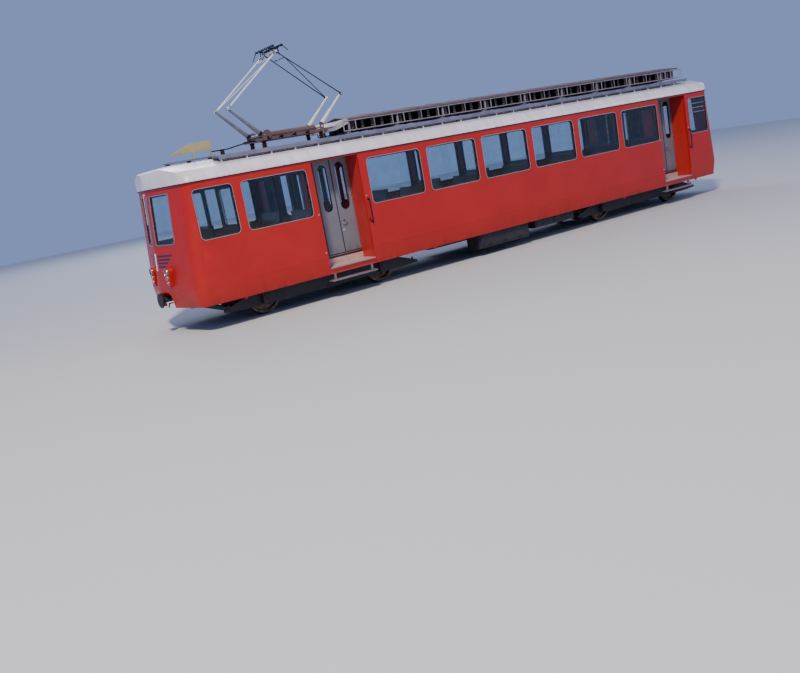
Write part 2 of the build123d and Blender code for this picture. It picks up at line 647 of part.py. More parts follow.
# Side walkways on the roof: two planks on cross bars with two legs each, and a short centre plank
WALK_TOP = 3320
PLANK_THICK = 28
PLANK_WIDTH = 130
WALK_FOOT_PITCH = 555
WALK_FEET = 26
WALK_FIRST_X = -6850
WALK_OUTER_Y = 1000
WALK_INNER_Y = 700
WALK_BAR = 30
WALK_END_X = WALK_FIRST_X + WALK_FOOT_PITCH * (WALK_FEET - 1)
roof_clearance = roof_block(-SEAT_GAP)
walk_bar_top = WALK_TOP - PLANK_THICK
with BuildPart() as walk_foot:
    box_between((-15, -WALK_OUTER_Y, walk_bar_top - WALK_BAR), (15, -WALK_INNER_Y, walk_bar_top))
    for y in (-WALK_OUTER_Y + 40, -WALK_INNER_Y - 40):
        box_between((-15, y - 12, SHOULDER_Z), (15, y + 12, walk_bar_top - WALK_BAR))
    add(roof_clearance, mode=Mode.SUBTRACT)
with BuildPart() as roof_walks:
    with Locations([(WALK_FIRST_X + WALK_FOOT_PITCH * i, 0, 0) for i in range(WALK_FEET)]):
        add(walk_foot.part)
    for low_y in (-WALK_OUTER_Y, -WALK_INNER_Y - PLANK_WIDTH):
        box_between((WALK_FIRST_X - 60, low_y, walk_bar_top), (WALK_END_X + 60, low_y + PLANK_WIDTH, WALK_TOP))
    mirror(about=Plane.XZ)
save(roof_walks, "roof_walks")

CENTRE_PLANK_SETBACK = 545
CENTRE_PLANK_XS = (CENTRE_PLANK_SETBACK - ROOF_VISOR, -6590)
CENTRE_PLANK_WIDTH = 260
CENTRE_PLANK_LOW = ROOF_TOP + 36
CENTRE_PLANK_TOP = CENTRE_PLANK_LOW + 24
CENTRE_PLANK_FOOT_INSET = 60
with BuildPart() as centre_plank:
    low_x, high_x = CENTRE_PLANK_XS
    half = CENTRE_PLANK_WIDTH / 2
    box_between((low_x, -half, CENTRE_PLANK_LOW), (high_x, half, CENTRE_PLANK_TOP))
    for x in (low_x + CENTRE_PLANK_FOOT_INSET, (low_x + high_x) / 2, high_x - CENTRE_PLANK_FOOT_INSET):
        box_between((x - 15, -half, ROOF_TOP - 60), (x + 15, half, CENTRE_PLANK_LOW))
    add(roof_clearance, mode=Mode.SUBTRACT)
save(centre_plank, "centre_plank")

# Resistor bank on the roof: portal frames, grid stacks and a pitched cover with a ramp at one end
BANK_FIRST_X = -3550
BANK_PITCH = 1320
BANK_FRAMES = 9
BANK_HALF_Y = 560
BANK_POST = 36
BANK_BAR_Z = 3625
COVER_RIDGE_Z = 3735
COVER_EAVE_Z = 3668
COVER_HALF_Y = 610
COVER_THICK = 8
RAMP_LENGTH = 360
RAMP_DROP = 110
bank_frame_xs = [BANK_FIRST_X + BANK_PITCH * i for i in range(BANK_FRAMES)]
BANK_END_X = bank_frame_xs[-1]
BANK_SHELF_Z = 3345
BANK_SHELF_THICK = 30
bank_half = BANK_POST / 2
with BuildPart() as bank_frame:
    for y in (-BANK_HALF_Y, BANK_HALF_Y):
        box_between((-bank_half, y - bank_half, SHOULDER_Z), (bank_half, y + bank_half, BANK_BAR_Z))
    box_between(
        (-bank_half, -BANK_HALF_Y, BANK_SHELF_Z), (bank_half, BANK_HALF_Y, BANK_SHELF_Z + BANK_SHELF_THICK))
    add(roof_clearance, mode=Mode.SUBTRACT)
with BuildPart() as resistor_frames:
    with Locations([(x, 0, 0) for x in bank_frame_xs]):
        add(bank_frame.part)
    with Locations([(x, 0, BANK_BAR_Z + bank_half) for x in bank_frame_xs]):
        Box(BANK_POST, 2 * (BANK_HALF_Y + bank_half), BANK_POST)
    bank_mid_x = (BANK_FIRST_X + BANK_END_X) / 2
    with Locations([(bank_mid_x, y, BANK_BAR_Z + bank_half) for y in (-BANK_HALF_Y, BANK_HALF_Y)]):
        Box(BANK_END_X - BANK_FIRST_X, BANK_POST, BANK_POST)
save(resistor_frames, "resistor_frames")

# Grid stacks: upright resistor plates on two carrier rails that end at the frames
GRID_LOW = BANK_SHELF_Z + BANK_SHELF_THICK
GRID_HEIGHT = 225
GRID_PLATES = 5
GRID_PLATE_THICK = 60
GRID_WIDTH = 460
GRID_CENTRE_Y = 275
GRID_RAIL = 40
GRID_END_GAP = 110
grid_length = BANK_PITCH - BANK_POST
grid_plate_pitch = (grid_length - 2 * GRID_END_GAP) / (GRID_PLATES - 1)
with BuildPart() as grid_stack:
    with GridLocations(grid_plate_pitch, 1, GRID_PLATES, 1):
        Box(GRID_PLATE_THICK, GRID_WIDTH, GRID_HEIGHT, align=(Align.CENTER, Align.CENTER, Align.MIN))
    Box(grid_length, GRID_RAIL, GRID_RAIL, align=(Align.CENTER, Align.CENTER, Align.MIN))
grid_xs = [x + BANK_PITCH / 2 for x in bank_frame_xs[:-1]]
with BuildPart() as resistor_grids:
    with Locations([(x, y, GRID_LOW) for x in grid_xs for y in (-GRID_CENTRE_Y, GRID_CENTRE_Y)]):
        add(grid_stack.part)
save(resistor_grids, "resistor_grids")

bar_top = BANK_BAR_Z + BANK_POST
cover_low_x = BANK_FIRST_X - bank_half
with BuildPart() as resistor_cover:
    with BuildSketch(Plane.YZ.offset(cover_low_x)):
        with BuildLine():
            Polyline(
                (-COVER_HALF_Y, COVER_EAVE_Z), (0, COVER_RIDGE_Z), (COVER_HALF_Y, COVER_EAVE_Z),
                (COVER_HALF_Y, COVER_EAVE_Z - COVER_THICK), (BANK_HALF_Y + BANK_POST / 2, bar_top),
                (BANK_HALF_Y - BANK_POST / 2, bar_top), (0, COVER_RIDGE_Z - COVER_THICK),
                (-BANK_HALF_Y + BANK_POST / 2, bar_top), (-BANK_HALF_Y - BANK_POST / 2, bar_top),
                (-COVER_HALF_Y, COVER_EAVE_Z - COVER_THICK), close=True)
        make_face()
    extrude(amount=BANK_END_X + bank_half - cover_low_x)
    with BuildSketch(Plane.XZ.offset(-BANK_HALF_Y + 40)):
        with BuildLine():
            Polyline(
                (cover_low_x, COVER_EAVE_Z - COVER_THICK), (cover_low_x, COVER_EAVE_Z),
                (cover_low_x - RAMP_LENGTH, COVER_EAVE_Z - RAMP_DROP),
                (cover_low_x - RAMP_LENGTH, COVER_EAVE_Z - RAMP_DROP - COVER_THICK), close=True)
        make_face()
    extrude(amount=2 * BANK_HALF_Y - 80)
save(resistor_cover, "resistor_cover")

# Wedge board above the roof nose, and the bus bar from it to the pantograph
BOARD_THICK = 24
BUS_Z = 3450
BUS_R = 14
BUS_JOINT_X = -6370
BOARD_FOOT_TOP = CENTRE_PLANK_TOP + 20
BOARD_FOOT_GRIP = 120
# columns: x, z
board_corners = ((-7525, 3478), (-7070, 3672), (-6607, 3677), (-6604, 3503))
board_foot_xs = (-7010, -6630)
with BuildPart() as roof_board:
    with BuildSketch(Plane.XZ.offset(-BOARD_THICK / 2)):
        with BuildLine():
            Polyline(board_corners, close=True)
        make_face()
    extrude(amount=BOARD_THICK)
    for x in board_foot_xs:
        box_between(
            (x - BOARD_THICK / 2, -BOARD_THICK / 2, BOARD_FOOT_TOP),
            (x + BOARD_THICK / 2, BOARD_THICK / 2, BOARD_FOOT_TOP + BOARD_FOOT_GRIP))
        box_between((x - 30, -60, CENTRE_PLANK_TOP), (x + 30, 60, BOARD_FOOT_TOP))
save(roof_board, "roof_board")

# Diamond pantograph: all sizes from the centre of its base
PANTO_X = -4830
PANTO_PIVOT_Z = 3600
PIVOT_OFFSET = 700
KNEE_OFFSET = 1365
KNEE_Z = 4230
HEAD_Z = 5270
ARM_Y = 300
EYE_THICK = 20
KNEE_PIN_R = 12
PIN_CLEARANCE = 0.1
BASE_BEAM_LOW = 3490
BASE_BEAM_TOP = 3550
BASE_HALF_X = 870
TORQUE_R = 38
STUB_R = 20
BEARING_Y = 390
INSULATOR_R = 62

SHEDS = 4
shed_height = (BASE_BEAM_LOW - ROOF_TOP + 20) / SHEDS
shed_outline = [(0, 0)]
for i in range(SHEDS):
    shed_low = shed_height * i
    shed_outline += [(INSULATOR_R * 0.6, shed_low), (INSULATOR_R, shed_low + shed_height * 0.45)]
shed_outline += [(INSULATOR_R * 0.6, shed_height * SHEDS), (0, shed_height * SHEDS)]
with BuildPart() as insulator:
    with BuildSketch(Plane.XZ):
        with BuildLine():
            Polyline(shed_outline, close=True)
        make_face()
    revolve(axis=Axis.Z)
panto_ends = (PANTO_X - PIVOT_OFFSET, PANTO_X + PIVOT_OFFSET)
with BuildPart() as insulators:
    with Locations([(x, y, ROOF_TOP - 20) for x in panto_ends for y in (-ARM_Y, ARM_Y)]):
        add(insulator.part)
    with Locations((BUS_JOINT_X, 0, ROOF_TOP)):
        Cylinder(45, BUS_Z - BUS_R - ROOF_TOP, align=(Align.CENTER, Align.CENTER, Align.MIN))
    add(roof_clearance, mode=Mode.SUBTRACT)
save(insulators, "insulators")

# Pantograph base: two beams, two bearing stands, two spring tubes and the bus bar to the board
SPRING_R = 42
SPRING_Y = 120
with BuildPart() as pantograph_base:
    for y in (-ARM_Y, ARM_Y):
        box_between(
            (PANTO_X - BASE_HALF_X, y - 35, BASE_BEAM_LOW), (PANTO_X + BASE_HALF_X, y + 35, BASE_BEAM_TOP))
    for x in panto_ends:
        box_between((x - 45, -BEARING_Y - 12, BASE_BEAM_LOW), (x + 45, BEARING_Y + 12, BASE_BEAM_TOP))
        for y in (-BEARING_Y, BEARING_Y):
            box_between((x - 45, y - 12, BASE_BEAM_TOP), (x + 45, y + 12, PANTO_PIVOT_Z + 45))
        with Locations(Location((x, 0, PANTO_PIVOT_Z), (90, 0, 0))):
            Cylinder(STUB_R + PIN_CLEARANCE, 4 * BEARING_Y, mode=Mode.SUBTRACT)
    for y in (-SPRING_Y, SPRING_Y):
        with Locations(Location((PANTO_X, y, BASE_BEAM_LOW + 30), (0, 90, 0))):
            Cylinder(SPRING_R, 2 * PIVOT_OFFSET - 300)
        with Locations(Location((PANTO_X, y, BASE_BEAM_LOW + 30), (0, 90, 0))):
            Cylinder(12, 2 * PIVOT_OFFSET)
save(pantograph_base, "pantograph_base")

BUS_START_X = -6618
with BuildPart() as bus_bar:
    with BuildLine():
        bus_path = FilletPolyline(
            (BUS_START_X, 0, BUS_Z), (BUS_JOINT_X + 120, 0, BUS_Z), (PANTO_X - BASE_HALF_X - 60, 0, BASE_BEAM_LOW + 30),
            (PANTO_X - PIVOT_OFFSET - 45, 0, BASE_BEAM_LOW + 30), radius=60)
    with BuildSketch(Plane(origin=bus_path @ 0, z_dir=bus_path % 0)):
        Circle(BUS_R)
    sweep()
save(bus_bar, "bus_bar")


def tube(start, end, start_r, end_r):
    """A straight tapered round bar from one point to another."""
    run = Vector(*end) - Vector(*start)
    with Locations(Location(Plane(origin=start, z_dir=run))):
        if start_r == end_r:
            Cylinder(start_r, run.length, align=(Align.CENTER, Align.CENTER, Align.MIN))
        else:
            Cone(start_r, end_r, run.length, align=(Align.CENTER, Align.CENTER, Align.MIN))


def cross_shaft(x, z, low_y, high_y, radius, mode=Mode.ADD):
    """A round bar along Y."""
    with Locations(Location((x, (low_y + high_y) / 2, z), (90, 0, 0))):
        Cylinder(radius, high_y - low_y, mode=mode)


UPPER_Y = ARM_Y + 46
KNEE_EYE_R = 30
LOWER_BASE_R = 36
LOWER_KNEE_R = 20
HEAD_SHAFT_R = 14
STAY_R = 9
CUP_Y = 262
CUP_HALF = 11
# columns: name, direction from the centre, tube radii at knee and head
panto_sides = (("valley", -1, 19, 17), ("mountain", 1, 12, 10))
for end, way, knee_r, head_r in panto_sides:
    pivot_x = PANTO_X + way * PIVOT_OFFSET
    knee_x = PANTO_X + way * KNEE_OFFSET
    with BuildPart() as lower_arms:
        cross_shaft(pivot_x, PANTO_PIVOT_Z, -BEARING_Y + 14, BEARING_Y - 14, TORQUE_R)
        cross_shaft(pivot_x, PANTO_PIVOT_Z, -BEARING_Y - 24, BEARING_Y + 24, STUB_R)
        for side in (-1, 1):
            arm_y = side * ARM_Y
            tube((pivot_x, arm_y, PANTO_PIVOT_Z), (knee_x, arm_y, KNEE_Z), LOWER_BASE_R, LOWER_KNEE_R)
            low_y, high_y = sorted((arm_y - side * EYE_THICK / 2, arm_y + side * EYE_THICK / 2))
            cross_shaft(knee_x, KNEE_Z, low_y, high_y, KNEE_EYE_R)
            low_y, high_y = sorted((arm_y, side * (UPPER_Y + EYE_THICK / 2 + 8)))
            cross_shaft(knee_x, KNEE_Z, low_y, high_y, KNEE_PIN_R)
    save(lower_arms, f"lower_arms_{end}")
    with BuildPart() as upper_arms:
        for side in (-1, 1):
            upper_y = side * UPPER_Y
            head_y = upper_y if way < 0 else side * CUP_Y
            tube((knee_x, upper_y, KNEE_Z), (PANTO_X, head_y, HEAD_Z), knee_r, head_r)
            low_y, high_y = sorted((upper_y - side * EYE_THICK / 2, upper_y + side * EYE_THICK / 2))
            cross_shaft(knee_x, KNEE_Z, low_y, high_y, KNEE_EYE_R)
            if way > 0:
                cross_shaft(PANTO_X, HEAD_Z, head_y - CUP_HALF, head_y + CUP_HALF, HEAD_SHAFT_R + 14)
        share = 0.86
        tie_x = knee_x + (PANTO_X - knee_x) * share
        tie_z = KNEE_Z + (HEAD_Z - KNEE_Z) * share
        tie_y = UPPER_Y + ((UPPER_Y if way < 0 else CUP_Y) - UPPER_Y) * share
        cross_shaft(tie_x, tie_z, -tie_y, tie_y, STAY_R + 2)
        tube((knee_x, UPPER_Y - 8, KNEE_Z), (tie_x, -tie_y, tie_z), STAY_R, STAY_R)
        for side in (-1, 1):
            upper_y = side * UPPER_Y
            cross_shaft(knee_x, KNEE_Z, upper_y - 60, upper_y + 60, KNEE_PIN_R + PIN_CLEARANCE, mode=Mode.SUBTRACT)
        if way < 0:
            cross_shaft(PANTO_X, HEAD_Z, -UPPER_Y - 20, UPPER_Y + 20, HEAD_SHAFT_R)
        else:
            cross_shaft(PANTO_X, HEAD_Z, -UPPER_Y, UPPER_Y, HEAD_SHAFT_R + 5, mode=Mode.SUBTRACT)
            box_between(
                (PANTO_X - 60, -UPPER_Y, HEAD_Z - 60), (PANTO_X, UPPER_Y, HEAD_Z + 60), mode=Mode.SUBTRACT)
    save(upper_arms, f"upper_arms_{end}")

# Collector head: two carriers with contact strips and down-turned horns, on two upright yokes
YOKE_Y = 215
YOKE_THICK = 24
STRIP_X = 105
STRIP_Z = HEAD_Z + 95
STRIP_HALF_Y = 430
HORN_END_Y = 620
HORN_DROP = 150
with BuildPart() as collector_head:
    for side in (-1, 1):
        yoke_y = side * YOKE_Y
        cross_shaft(PANTO_X, HEAD_Z, yoke_y - YOKE_THICK / 2, yoke_y + YOKE_THICK / 2, HEAD_SHAFT_R + 12)
        for way in (-1, 1):
            tube((PANTO_X, yoke_y, HEAD_Z), (PANTO_X + way * STRIP_X, yoke_y, STRIP_Z - 14), 9, 9)
    for way in (-1, 1):
        strip_x = PANTO_X + way * STRIP_X
        box_between((strip_x - 18, -STRIP_HALF_Y, STRIP_Z - 16), (strip_x + 18, STRIP_HALF_Y, STRIP_Z + 12))
        for side in (-1, 1):
            start = (strip_x, side * (STRIP_HALF_Y - 20), STRIP_Z - 4)
            end_point = (strip_x + way * 10, side * HORN_END_Y, STRIP_Z - HORN_DROP)
            tube(start, end_point, 9, 8)
    cross_shaft(PANTO_X, HEAD_Z, -UPPER_Y, UPPER_Y, HEAD_SHAFT_R + PIN_CLEARANCE, mode=Mode.SUBTRACT)
save(collector_head, "collector_head")

# Bogies: side plates with axle boxes, end beams and a centre bolster that takes the body's pin
SIDE_Y = 930
SIDE_THICK = 60
BOX_Y_LOW = 880
BOX_Y_HIGH = 1045
BOX_HALF_X = 130
BOX_LOW = 265
BOX_HIGH = 600
TIP_X = 2410
TIP_Z = 313
SIDE_TOP = 515
SIDE_LOW = 235
SIDE_FLAT_X = 1800
BOGIE_BOLSTER_HALF_X = 190
BOGIE_BOLSTER_LOW = 420
BOGIE_BOLSTER_TOP = 600
CENTRE_PLATE_R = 180
END_BEAM_X = 2250
END_BEAM_HALF = 40
MOTOR_HALF_Y = 430
MOTOR_LENGTH = 800
MOTOR_LOW = 300
MOTOR_HIGH = 700
JOURNAL_CLEARANCE = 0.1
CAP_THICK = 20
for end, way in (("valley", -1), ("mountain", 1)):
    centre_x = way * BOGIE_X
    with BuildPart() as bogie_frame:
        with BuildSketch(Plane.XZ.offset(SIDE_Y - SIDE_THICK / 2)):
            with BuildLine():
                Polyline(
                    (centre_x - TIP_X, TIP_Z), (centre_x - SIDE_FLAT_X, SIDE_TOP),
                    (centre_x + SIDE_FLAT_X, SIDE_TOP), (centre_x + TIP_X, TIP_Z),
                    (centre_x + TIP_X, TIP_Z - 50), (centre_x + SIDE_FLAT_X + 200, SIDE_LOW),
                    (centre_x - SIDE_FLAT_X - 200, SIDE_LOW), (centre_x - TIP_X, TIP_Z - 50), close=True)
            make_face()
        extrude(amount=SIDE_THICK)
        for axle_way in (-1, 1):
            axle_x = centre_x + axle_way * WHEELBASE / 2
            box_between(
                (axle_x - BOX_HALF_X, -BOX_Y_HIGH - CAP_THICK, BOX_LOW), (axle_x + BOX_HALF_X, -BOX_Y_LOW, BOX_HIGH))
            cross_shaft(axle_x, AXLE_Z, -BOX_Y_HIGH, 0, JOURNAL_R + JOURNAL_CLEARANCE, mode=Mode.SUBTRACT)
        mirror(about=Plane.XZ)
        box_between(
            (centre_x - BOGIE_BOLSTER_HALF_X, -SIDE_Y, BOGIE_BOLSTER_LOW),
            (centre_x + BOGIE_BOLSTER_HALF_X, SIDE_Y, SIDE_TOP))
        for beam_way in (-1, 1):
            beam_x = centre_x + beam_way * END_BEAM_X
            box_between(
                (beam_x - END_BEAM_HALF, -SIDE_Y, TIP_Z - 40), (beam_x + END_BEAM_HALF, SIDE_Y, TIP_Z + 40))
        with Locations((centre_x, 0, SIDE_TOP)):
            Cylinder(
                CENTRE_PLATE_R, BOLSTER_LOW - SEAT_GAP - SIDE_TOP, align=(Align.CENTER, Align.CENTER, Align.MIN))
        with Locations((centre_x, 0, PIN_LOW - 5)):
            Cylinder(PIN_R + PIN_CLEARANCE, BOLSTER_LOW, align=(Align.CENTER, Align.CENTER, Align.MIN), mode=Mode.SUBTRACT)
    save(bogie_frame, f"bogie_frame_{end}")
    with BuildPart() as motors:
        for motor_way in (-1, 1):
            near_x = centre_x + motor_way * BOGIE_BOLSTER_HALF_X
            far_x = near_x + motor_way * MOTOR_LENGTH
            low_x, high_x = sorted((near_x, far_x))
            box_between((low_x, -MOTOR_HALF_Y, MOTOR_LOW), (high_x, MOTOR_HALF_Y, MOTOR_HIGH))
        fillet(motors.edges().filter_by(Axis.Y), 90)
    save(motors, f"traction_motors_{end}")

# Wheelsets: axle with journals, two flanged wheels and the cog wheel for the rack
COG_PITCH_R = COG_TEETH * RACK_PITCH / (2 * pi)
COG_ADDENDUM = 24
COG_DEDENDUM = 34
COG_HUB_R = 130
COG_HUB_HALF = 90
WHEEL_INNER_Y = BACK_TO_BACK / 2
WHEEL_OUTER_Y = WHEEL_INNER_Y + WHEEL_WIDTH
WEB_LOW_Y = WHEEL_INNER_Y + 50
WEB_HIGH_Y = WHEEL_INNER_Y + 85
HUB_R = 115
RIM_INNER_R = 325
wheelset_outline = (
    (0, 0), (0, AXLE_R), (WHEEL_INNER_Y - 10, AXLE_R), (WHEEL_INNER_Y - 10, HUB_R), (WEB_LOW_Y, HUB_R),
    (WEB_LOW_Y, RIM_INNER_R), (WHEEL_INNER_Y, RIM_INNER_R), (WHEEL_INNER_Y, AXLE_Z - 12),
    (WHEEL_INNER_Y + 14, AXLE_Z), (WHEEL_INNER_Y + 34, WHEEL_TREAD_R), (WHEEL_OUTER_Y, WHEEL_TREAD_R - 4),
    (WHEEL_OUTER_Y, RIM_INNER_R), (WEB_HIGH_Y, RIM_INNER_R), (WEB_HIGH_Y, HUB_R), (WHEEL_OUTER_Y + 15, HUB_R),
    (WHEEL_OUTER_Y + 15, JOURNAL_R), (JOURNAL_END, JOURNAL_R), (JOURNAL_END, 0))
with BuildPart() as wheelset:
    with BuildSketch(Plane.YZ):
        with BuildLine():
            Polyline(wheelset_outline, close=True)
        make_face()
    revolve(axis=Axis.Y)
    mirror(about=Plane.XZ)
    cross_shaft(0, 0, -COG_HUB_HALF, COG_HUB_HALF, COG_HUB_R)
    with BuildSketch(Plane.XZ.offset(-COG_WIDTH / 2)):
        Circle(COG_PITCH_R - COG_DEDENDUM)
        with PolarLocations(0, COG_TEETH):
            with BuildLine(mode=Mode.PRIVATE) as tooth_line:
                Polyline(
                    (COG_PITCH_R - COG_DEDENDUM - 8, -34), (COG_PITCH_R + COG_ADDENDUM, -14),
                    (COG_PITCH_R + COG_ADDENDUM, 14), (COG_PITCH_R - COG_DEDENDUM - 8, 34), close=True)
            add(make_face(tooth_line.edges(), mode=Mode.PRIVATE))
    extrude(amount=COG_WIDTH)
axle_places = [way * BOGIE_X + axle_way * WHEELBASE / 2 for way in (-1, 1) for axle_way in (-1, 1)]
for number, axle_x in enumerate(axle_places, start=1):
    with BuildPart() as placed_wheelset:
        add(wheelset.part.moved(Location((axle_x, 0, AXLE_Z))))
    save(placed_wheelset, f"wheelset_{number}")

# Door leaves: grey pressings with a tall rounded window, pivot pads and a lever handle on one leaf
PIVOT_INSET = 14
PIVOT_R = 12
LEAF_LOW = THRESHOLD_Z + 6
HANDLE_Z = 1520
HANDLE_OUT = 45
LEAF_WINDOW_MID = (LEAF_WINDOW_LOW + LEAF_WINDOW_HIGH) / 2
LEAF_WINDOW_HEIGHT = LEAF_WINDOW_HIGH - LEAF_WINDOW_LOW
SOFFIT_Z = CANT_Z - SOFFIT_THICK
for end, (low_x, high_x) in zip(("valley", "mountain"), doorway_edges):
    post_x = low_x + POST_WIDTH
    # columns: name, x of the hinge edge, direction from the hinge edge into the opening
    for leaf_name, hinge_x, into in (("left", post_x + DOOR_GAP, 1), ("right", high_x - DOOR_GAP, -1)):
        for side_name, side in (("near", -1), ("far", 1)):
            free_x = hinge_x + into * LEAF_WIDTH
            leaf_low_x, leaf_high_x = sorted((hinge_x, free_x))
            outer_y, inner_y = side * DOOR_FACE, side * (DOOR_FACE - LEAF_THICK)
            low_y, high_y = sorted((outer_y, inner_y))
            pivot_x = hinge_x + into * PIVOT_INSET
            pivot_y = side * (DOOR_FACE - PIVOT_INSET)
            with BuildPart() as leaf:
                box_between((leaf_low_x, low_y, LEAF_LOW), (leaf_high_x, high_y, LEAF_TOP))
                with BuildSketch(Plane.XZ):
                    with Locations(((leaf_low_x + leaf_high_x) / 2, LEAF_WINDOW_MID)):
                        SlotOverall(LEAF_WINDOW_HEIGHT, LEAF_WINDOW_WIDTH, rotation=90)
                extrude(amount=BODY_WIDTH, both=True, mode=Mode.SUBTRACT)
                with Locations((pivot_x, pivot_y, THRESHOLD_Z + SEAT_GAP)):
                    Cylinder(PIVOT_R, LEAF_LOW - THRESHOLD_Z, align=(Align.CENTER, Align.CENTER, Align.MIN))
                with Locations((pivot_x, pivot_y, SOFFIT_Z - SEAT_GAP)):
                    Cylinder(PIVOT_R, SOFFIT_Z - LEAF_TOP + 1, align=(Align.CENTER, Align.CENTER, Align.MAX))
                if leaf_name == "right":
                    grip_x = free_x - into * 45
                    grip_y = side * (DOOR_FACE + HANDLE_OUT)
                    low_y, high_y = sorted((outer_y, grip_y))
                    box_between((grip_x - 9, low_y, HANDLE_Z - 9), (grip_x + 9, high_y, HANDLE_Z + 9))
                    low_y, high_y = sorted((grip_y, side * (DOOR_FACE + HANDLE_OUT - 14)))
                    box_between((grip_x - 9, low_y, HANDLE_Z - 9), (grip_x + 100, high_y, HANDLE_Z + 9))
            save(leaf, f"door_{end}_{side_name}_{leaf_name}")
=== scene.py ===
# %% [markdown]
# # A rack railway railcar
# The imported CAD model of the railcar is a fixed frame: its nodes stay where they are, and this lesson
# gives them their finishes and adds the small pieces that the CAD leaves out. Lengths are metres, +X
# points to the mountain end, -Y is the side that faces the camera, and +Z is up.

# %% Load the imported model
import json
from math import cos, pi, radians, sin, tan

import bmesh
import bpy
from mathutils import Matrix, Vector


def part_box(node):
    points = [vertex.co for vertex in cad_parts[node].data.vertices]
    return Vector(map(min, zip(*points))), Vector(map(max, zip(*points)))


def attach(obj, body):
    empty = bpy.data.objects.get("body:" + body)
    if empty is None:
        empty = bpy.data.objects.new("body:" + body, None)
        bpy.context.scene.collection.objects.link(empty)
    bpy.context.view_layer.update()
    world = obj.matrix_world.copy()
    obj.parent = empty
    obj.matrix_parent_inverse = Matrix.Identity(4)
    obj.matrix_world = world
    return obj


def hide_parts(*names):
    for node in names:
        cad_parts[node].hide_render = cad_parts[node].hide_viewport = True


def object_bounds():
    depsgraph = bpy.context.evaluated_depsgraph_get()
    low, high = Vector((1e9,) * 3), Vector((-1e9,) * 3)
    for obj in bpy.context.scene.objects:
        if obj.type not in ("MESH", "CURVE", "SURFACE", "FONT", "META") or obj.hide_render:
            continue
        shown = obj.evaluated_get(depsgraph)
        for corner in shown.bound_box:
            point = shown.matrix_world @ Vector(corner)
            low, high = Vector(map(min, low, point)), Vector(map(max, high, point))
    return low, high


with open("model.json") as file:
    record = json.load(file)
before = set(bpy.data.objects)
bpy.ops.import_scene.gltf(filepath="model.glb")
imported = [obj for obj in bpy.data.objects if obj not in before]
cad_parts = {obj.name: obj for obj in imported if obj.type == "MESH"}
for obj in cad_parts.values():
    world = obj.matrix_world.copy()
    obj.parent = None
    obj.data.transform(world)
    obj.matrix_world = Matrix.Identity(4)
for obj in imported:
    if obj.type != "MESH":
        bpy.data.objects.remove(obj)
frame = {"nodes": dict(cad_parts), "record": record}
cad_low, cad_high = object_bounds()
slot_of_node = {part["node"]: part["material_slot"] for part in frame["record"]["subparts"]}
print("nodes", len(frame["nodes"]), "box", tuple(cad_low), tuple(cad_high))

# %% [markdown]
# ## The camera
# The car is seen from in front of its valley end, a little above eye height, with the picture tipped so
# that the level car climbs to the right. A camera can be aimed at a point with a constraint, but that
# leaves out the roll. So three angles are given: the turn from the side view, the dip and the roll. They
# become the three axes of the camera's matrix.

# %% Camera at the photograph's angle
CAMERA_PLACE = Vector((-13.819, -17.164, 2.817))
CAMERA_TURN = radians(32.54)
CAMERA_DIP = radians(12.11)
CAMERA_ROLL = radians(10.36)
LENS_MM = 38.7
SENSOR_MM = 36
VIEW_LIMIT = 2000

forward = Vector((
    sin(CAMERA_TURN) * cos(CAMERA_DIP), cos(CAMERA_TURN) * cos(CAMERA_DIP), -sin(CAMERA_DIP)))
level_right = Vector((cos(CAMERA_TURN), -sin(CAMERA_TURN), 0))
level_down = forward.cross(level_right)
right = level_right * cos(CAMERA_ROLL) + level_down * sin(CAMERA_ROLL)
down = level_down * cos(CAMERA_ROLL) - level_right * sin(CAMERA_ROLL)
camera_data = bpy.data.cameras.new("camera")
camera_data.lens = LENS_MM
camera_data.sensor_width = SENSOR_MM
camera_data.clip_end = VIEW_LIMIT
camera = bpy.data.objects.new("camera", camera_data)
camera_axes = Matrix((right, -down, -forward)).transposed().to_4x4()
camera.matrix_world = Matrix.Translation(CAMERA_PLACE) @ camera_axes
bpy.context.scene.collection.objects.link(camera)
bpy.context.scene.camera = camera
print("camera at", tuple(CAMERA_PLACE), "lens", LENS_MM)

# %% [markdown]
# ## Helpers for the finishes
# Every finish is a small net of nodes. They could be set by hand in the editor, but the same steps come
# back each time: colours laid over one another through masks, patches and grain of a real size, and the
# shader that closes the net. So each step is a function, and one small function adds every node.

# %% Colour and node helpers


def linear(colour):
    """An sRGB hex colour as linear RGBA."""
    channels = [int(colour[i:i + 2], 16) / 255 for i in (1, 3, 5)]
    return [c / 12.92 if c <= 0.04045 else ((c + 0.055) / 1.055) ** 2.4 for c in channels] + [1]


def add_node(tree, kind, inputs=None, **settings):
    """Add a node, set its properties, and link or fill its inputs by name or number."""
    node = tree.nodes.new(kind)
    for name, value in settings.items():
        setattr(node, name, value)
    for socket, value in (inputs or {}).items():
        if isinstance(value, bpy.types.NodeSocket):
            tree.links.new(value, node.inputs[socket])
        else:
            node.inputs[socket].default_value = value
    return node


def start_finish(name):
    """A new material, its empty tree and the surface's own coordinates."""
    material = bpy.data.materials.new(name)
    material.use_nodes = True
    tree = material.node_tree
    tree.nodes.clear()
    place = add_node(tree, "ShaderNodeTexCoord").outputs["Object"]
    return material, tree, place


def lay_colours(tree, base, *coats):
    """Lay colours over a base in turn; each coat is a colour and the masks that all have to be 1."""
    colour = linear(base) if isinstance(base, str) else base
    for coat, mask, *more_masks in coats:
        for other in more_masks:
            mask = add_node(tree, "ShaderNodeMath", {0: mask, 1: other}, operation="MULTIPLY").outputs[0]
        coat = linear(coat) if isinstance(coat, str) else coat
        colour = add_node(tree, "ShaderNodeMix", {0: mask, 6: colour, 7: coat}, data_type="RGBA").outputs[2]
    return colour


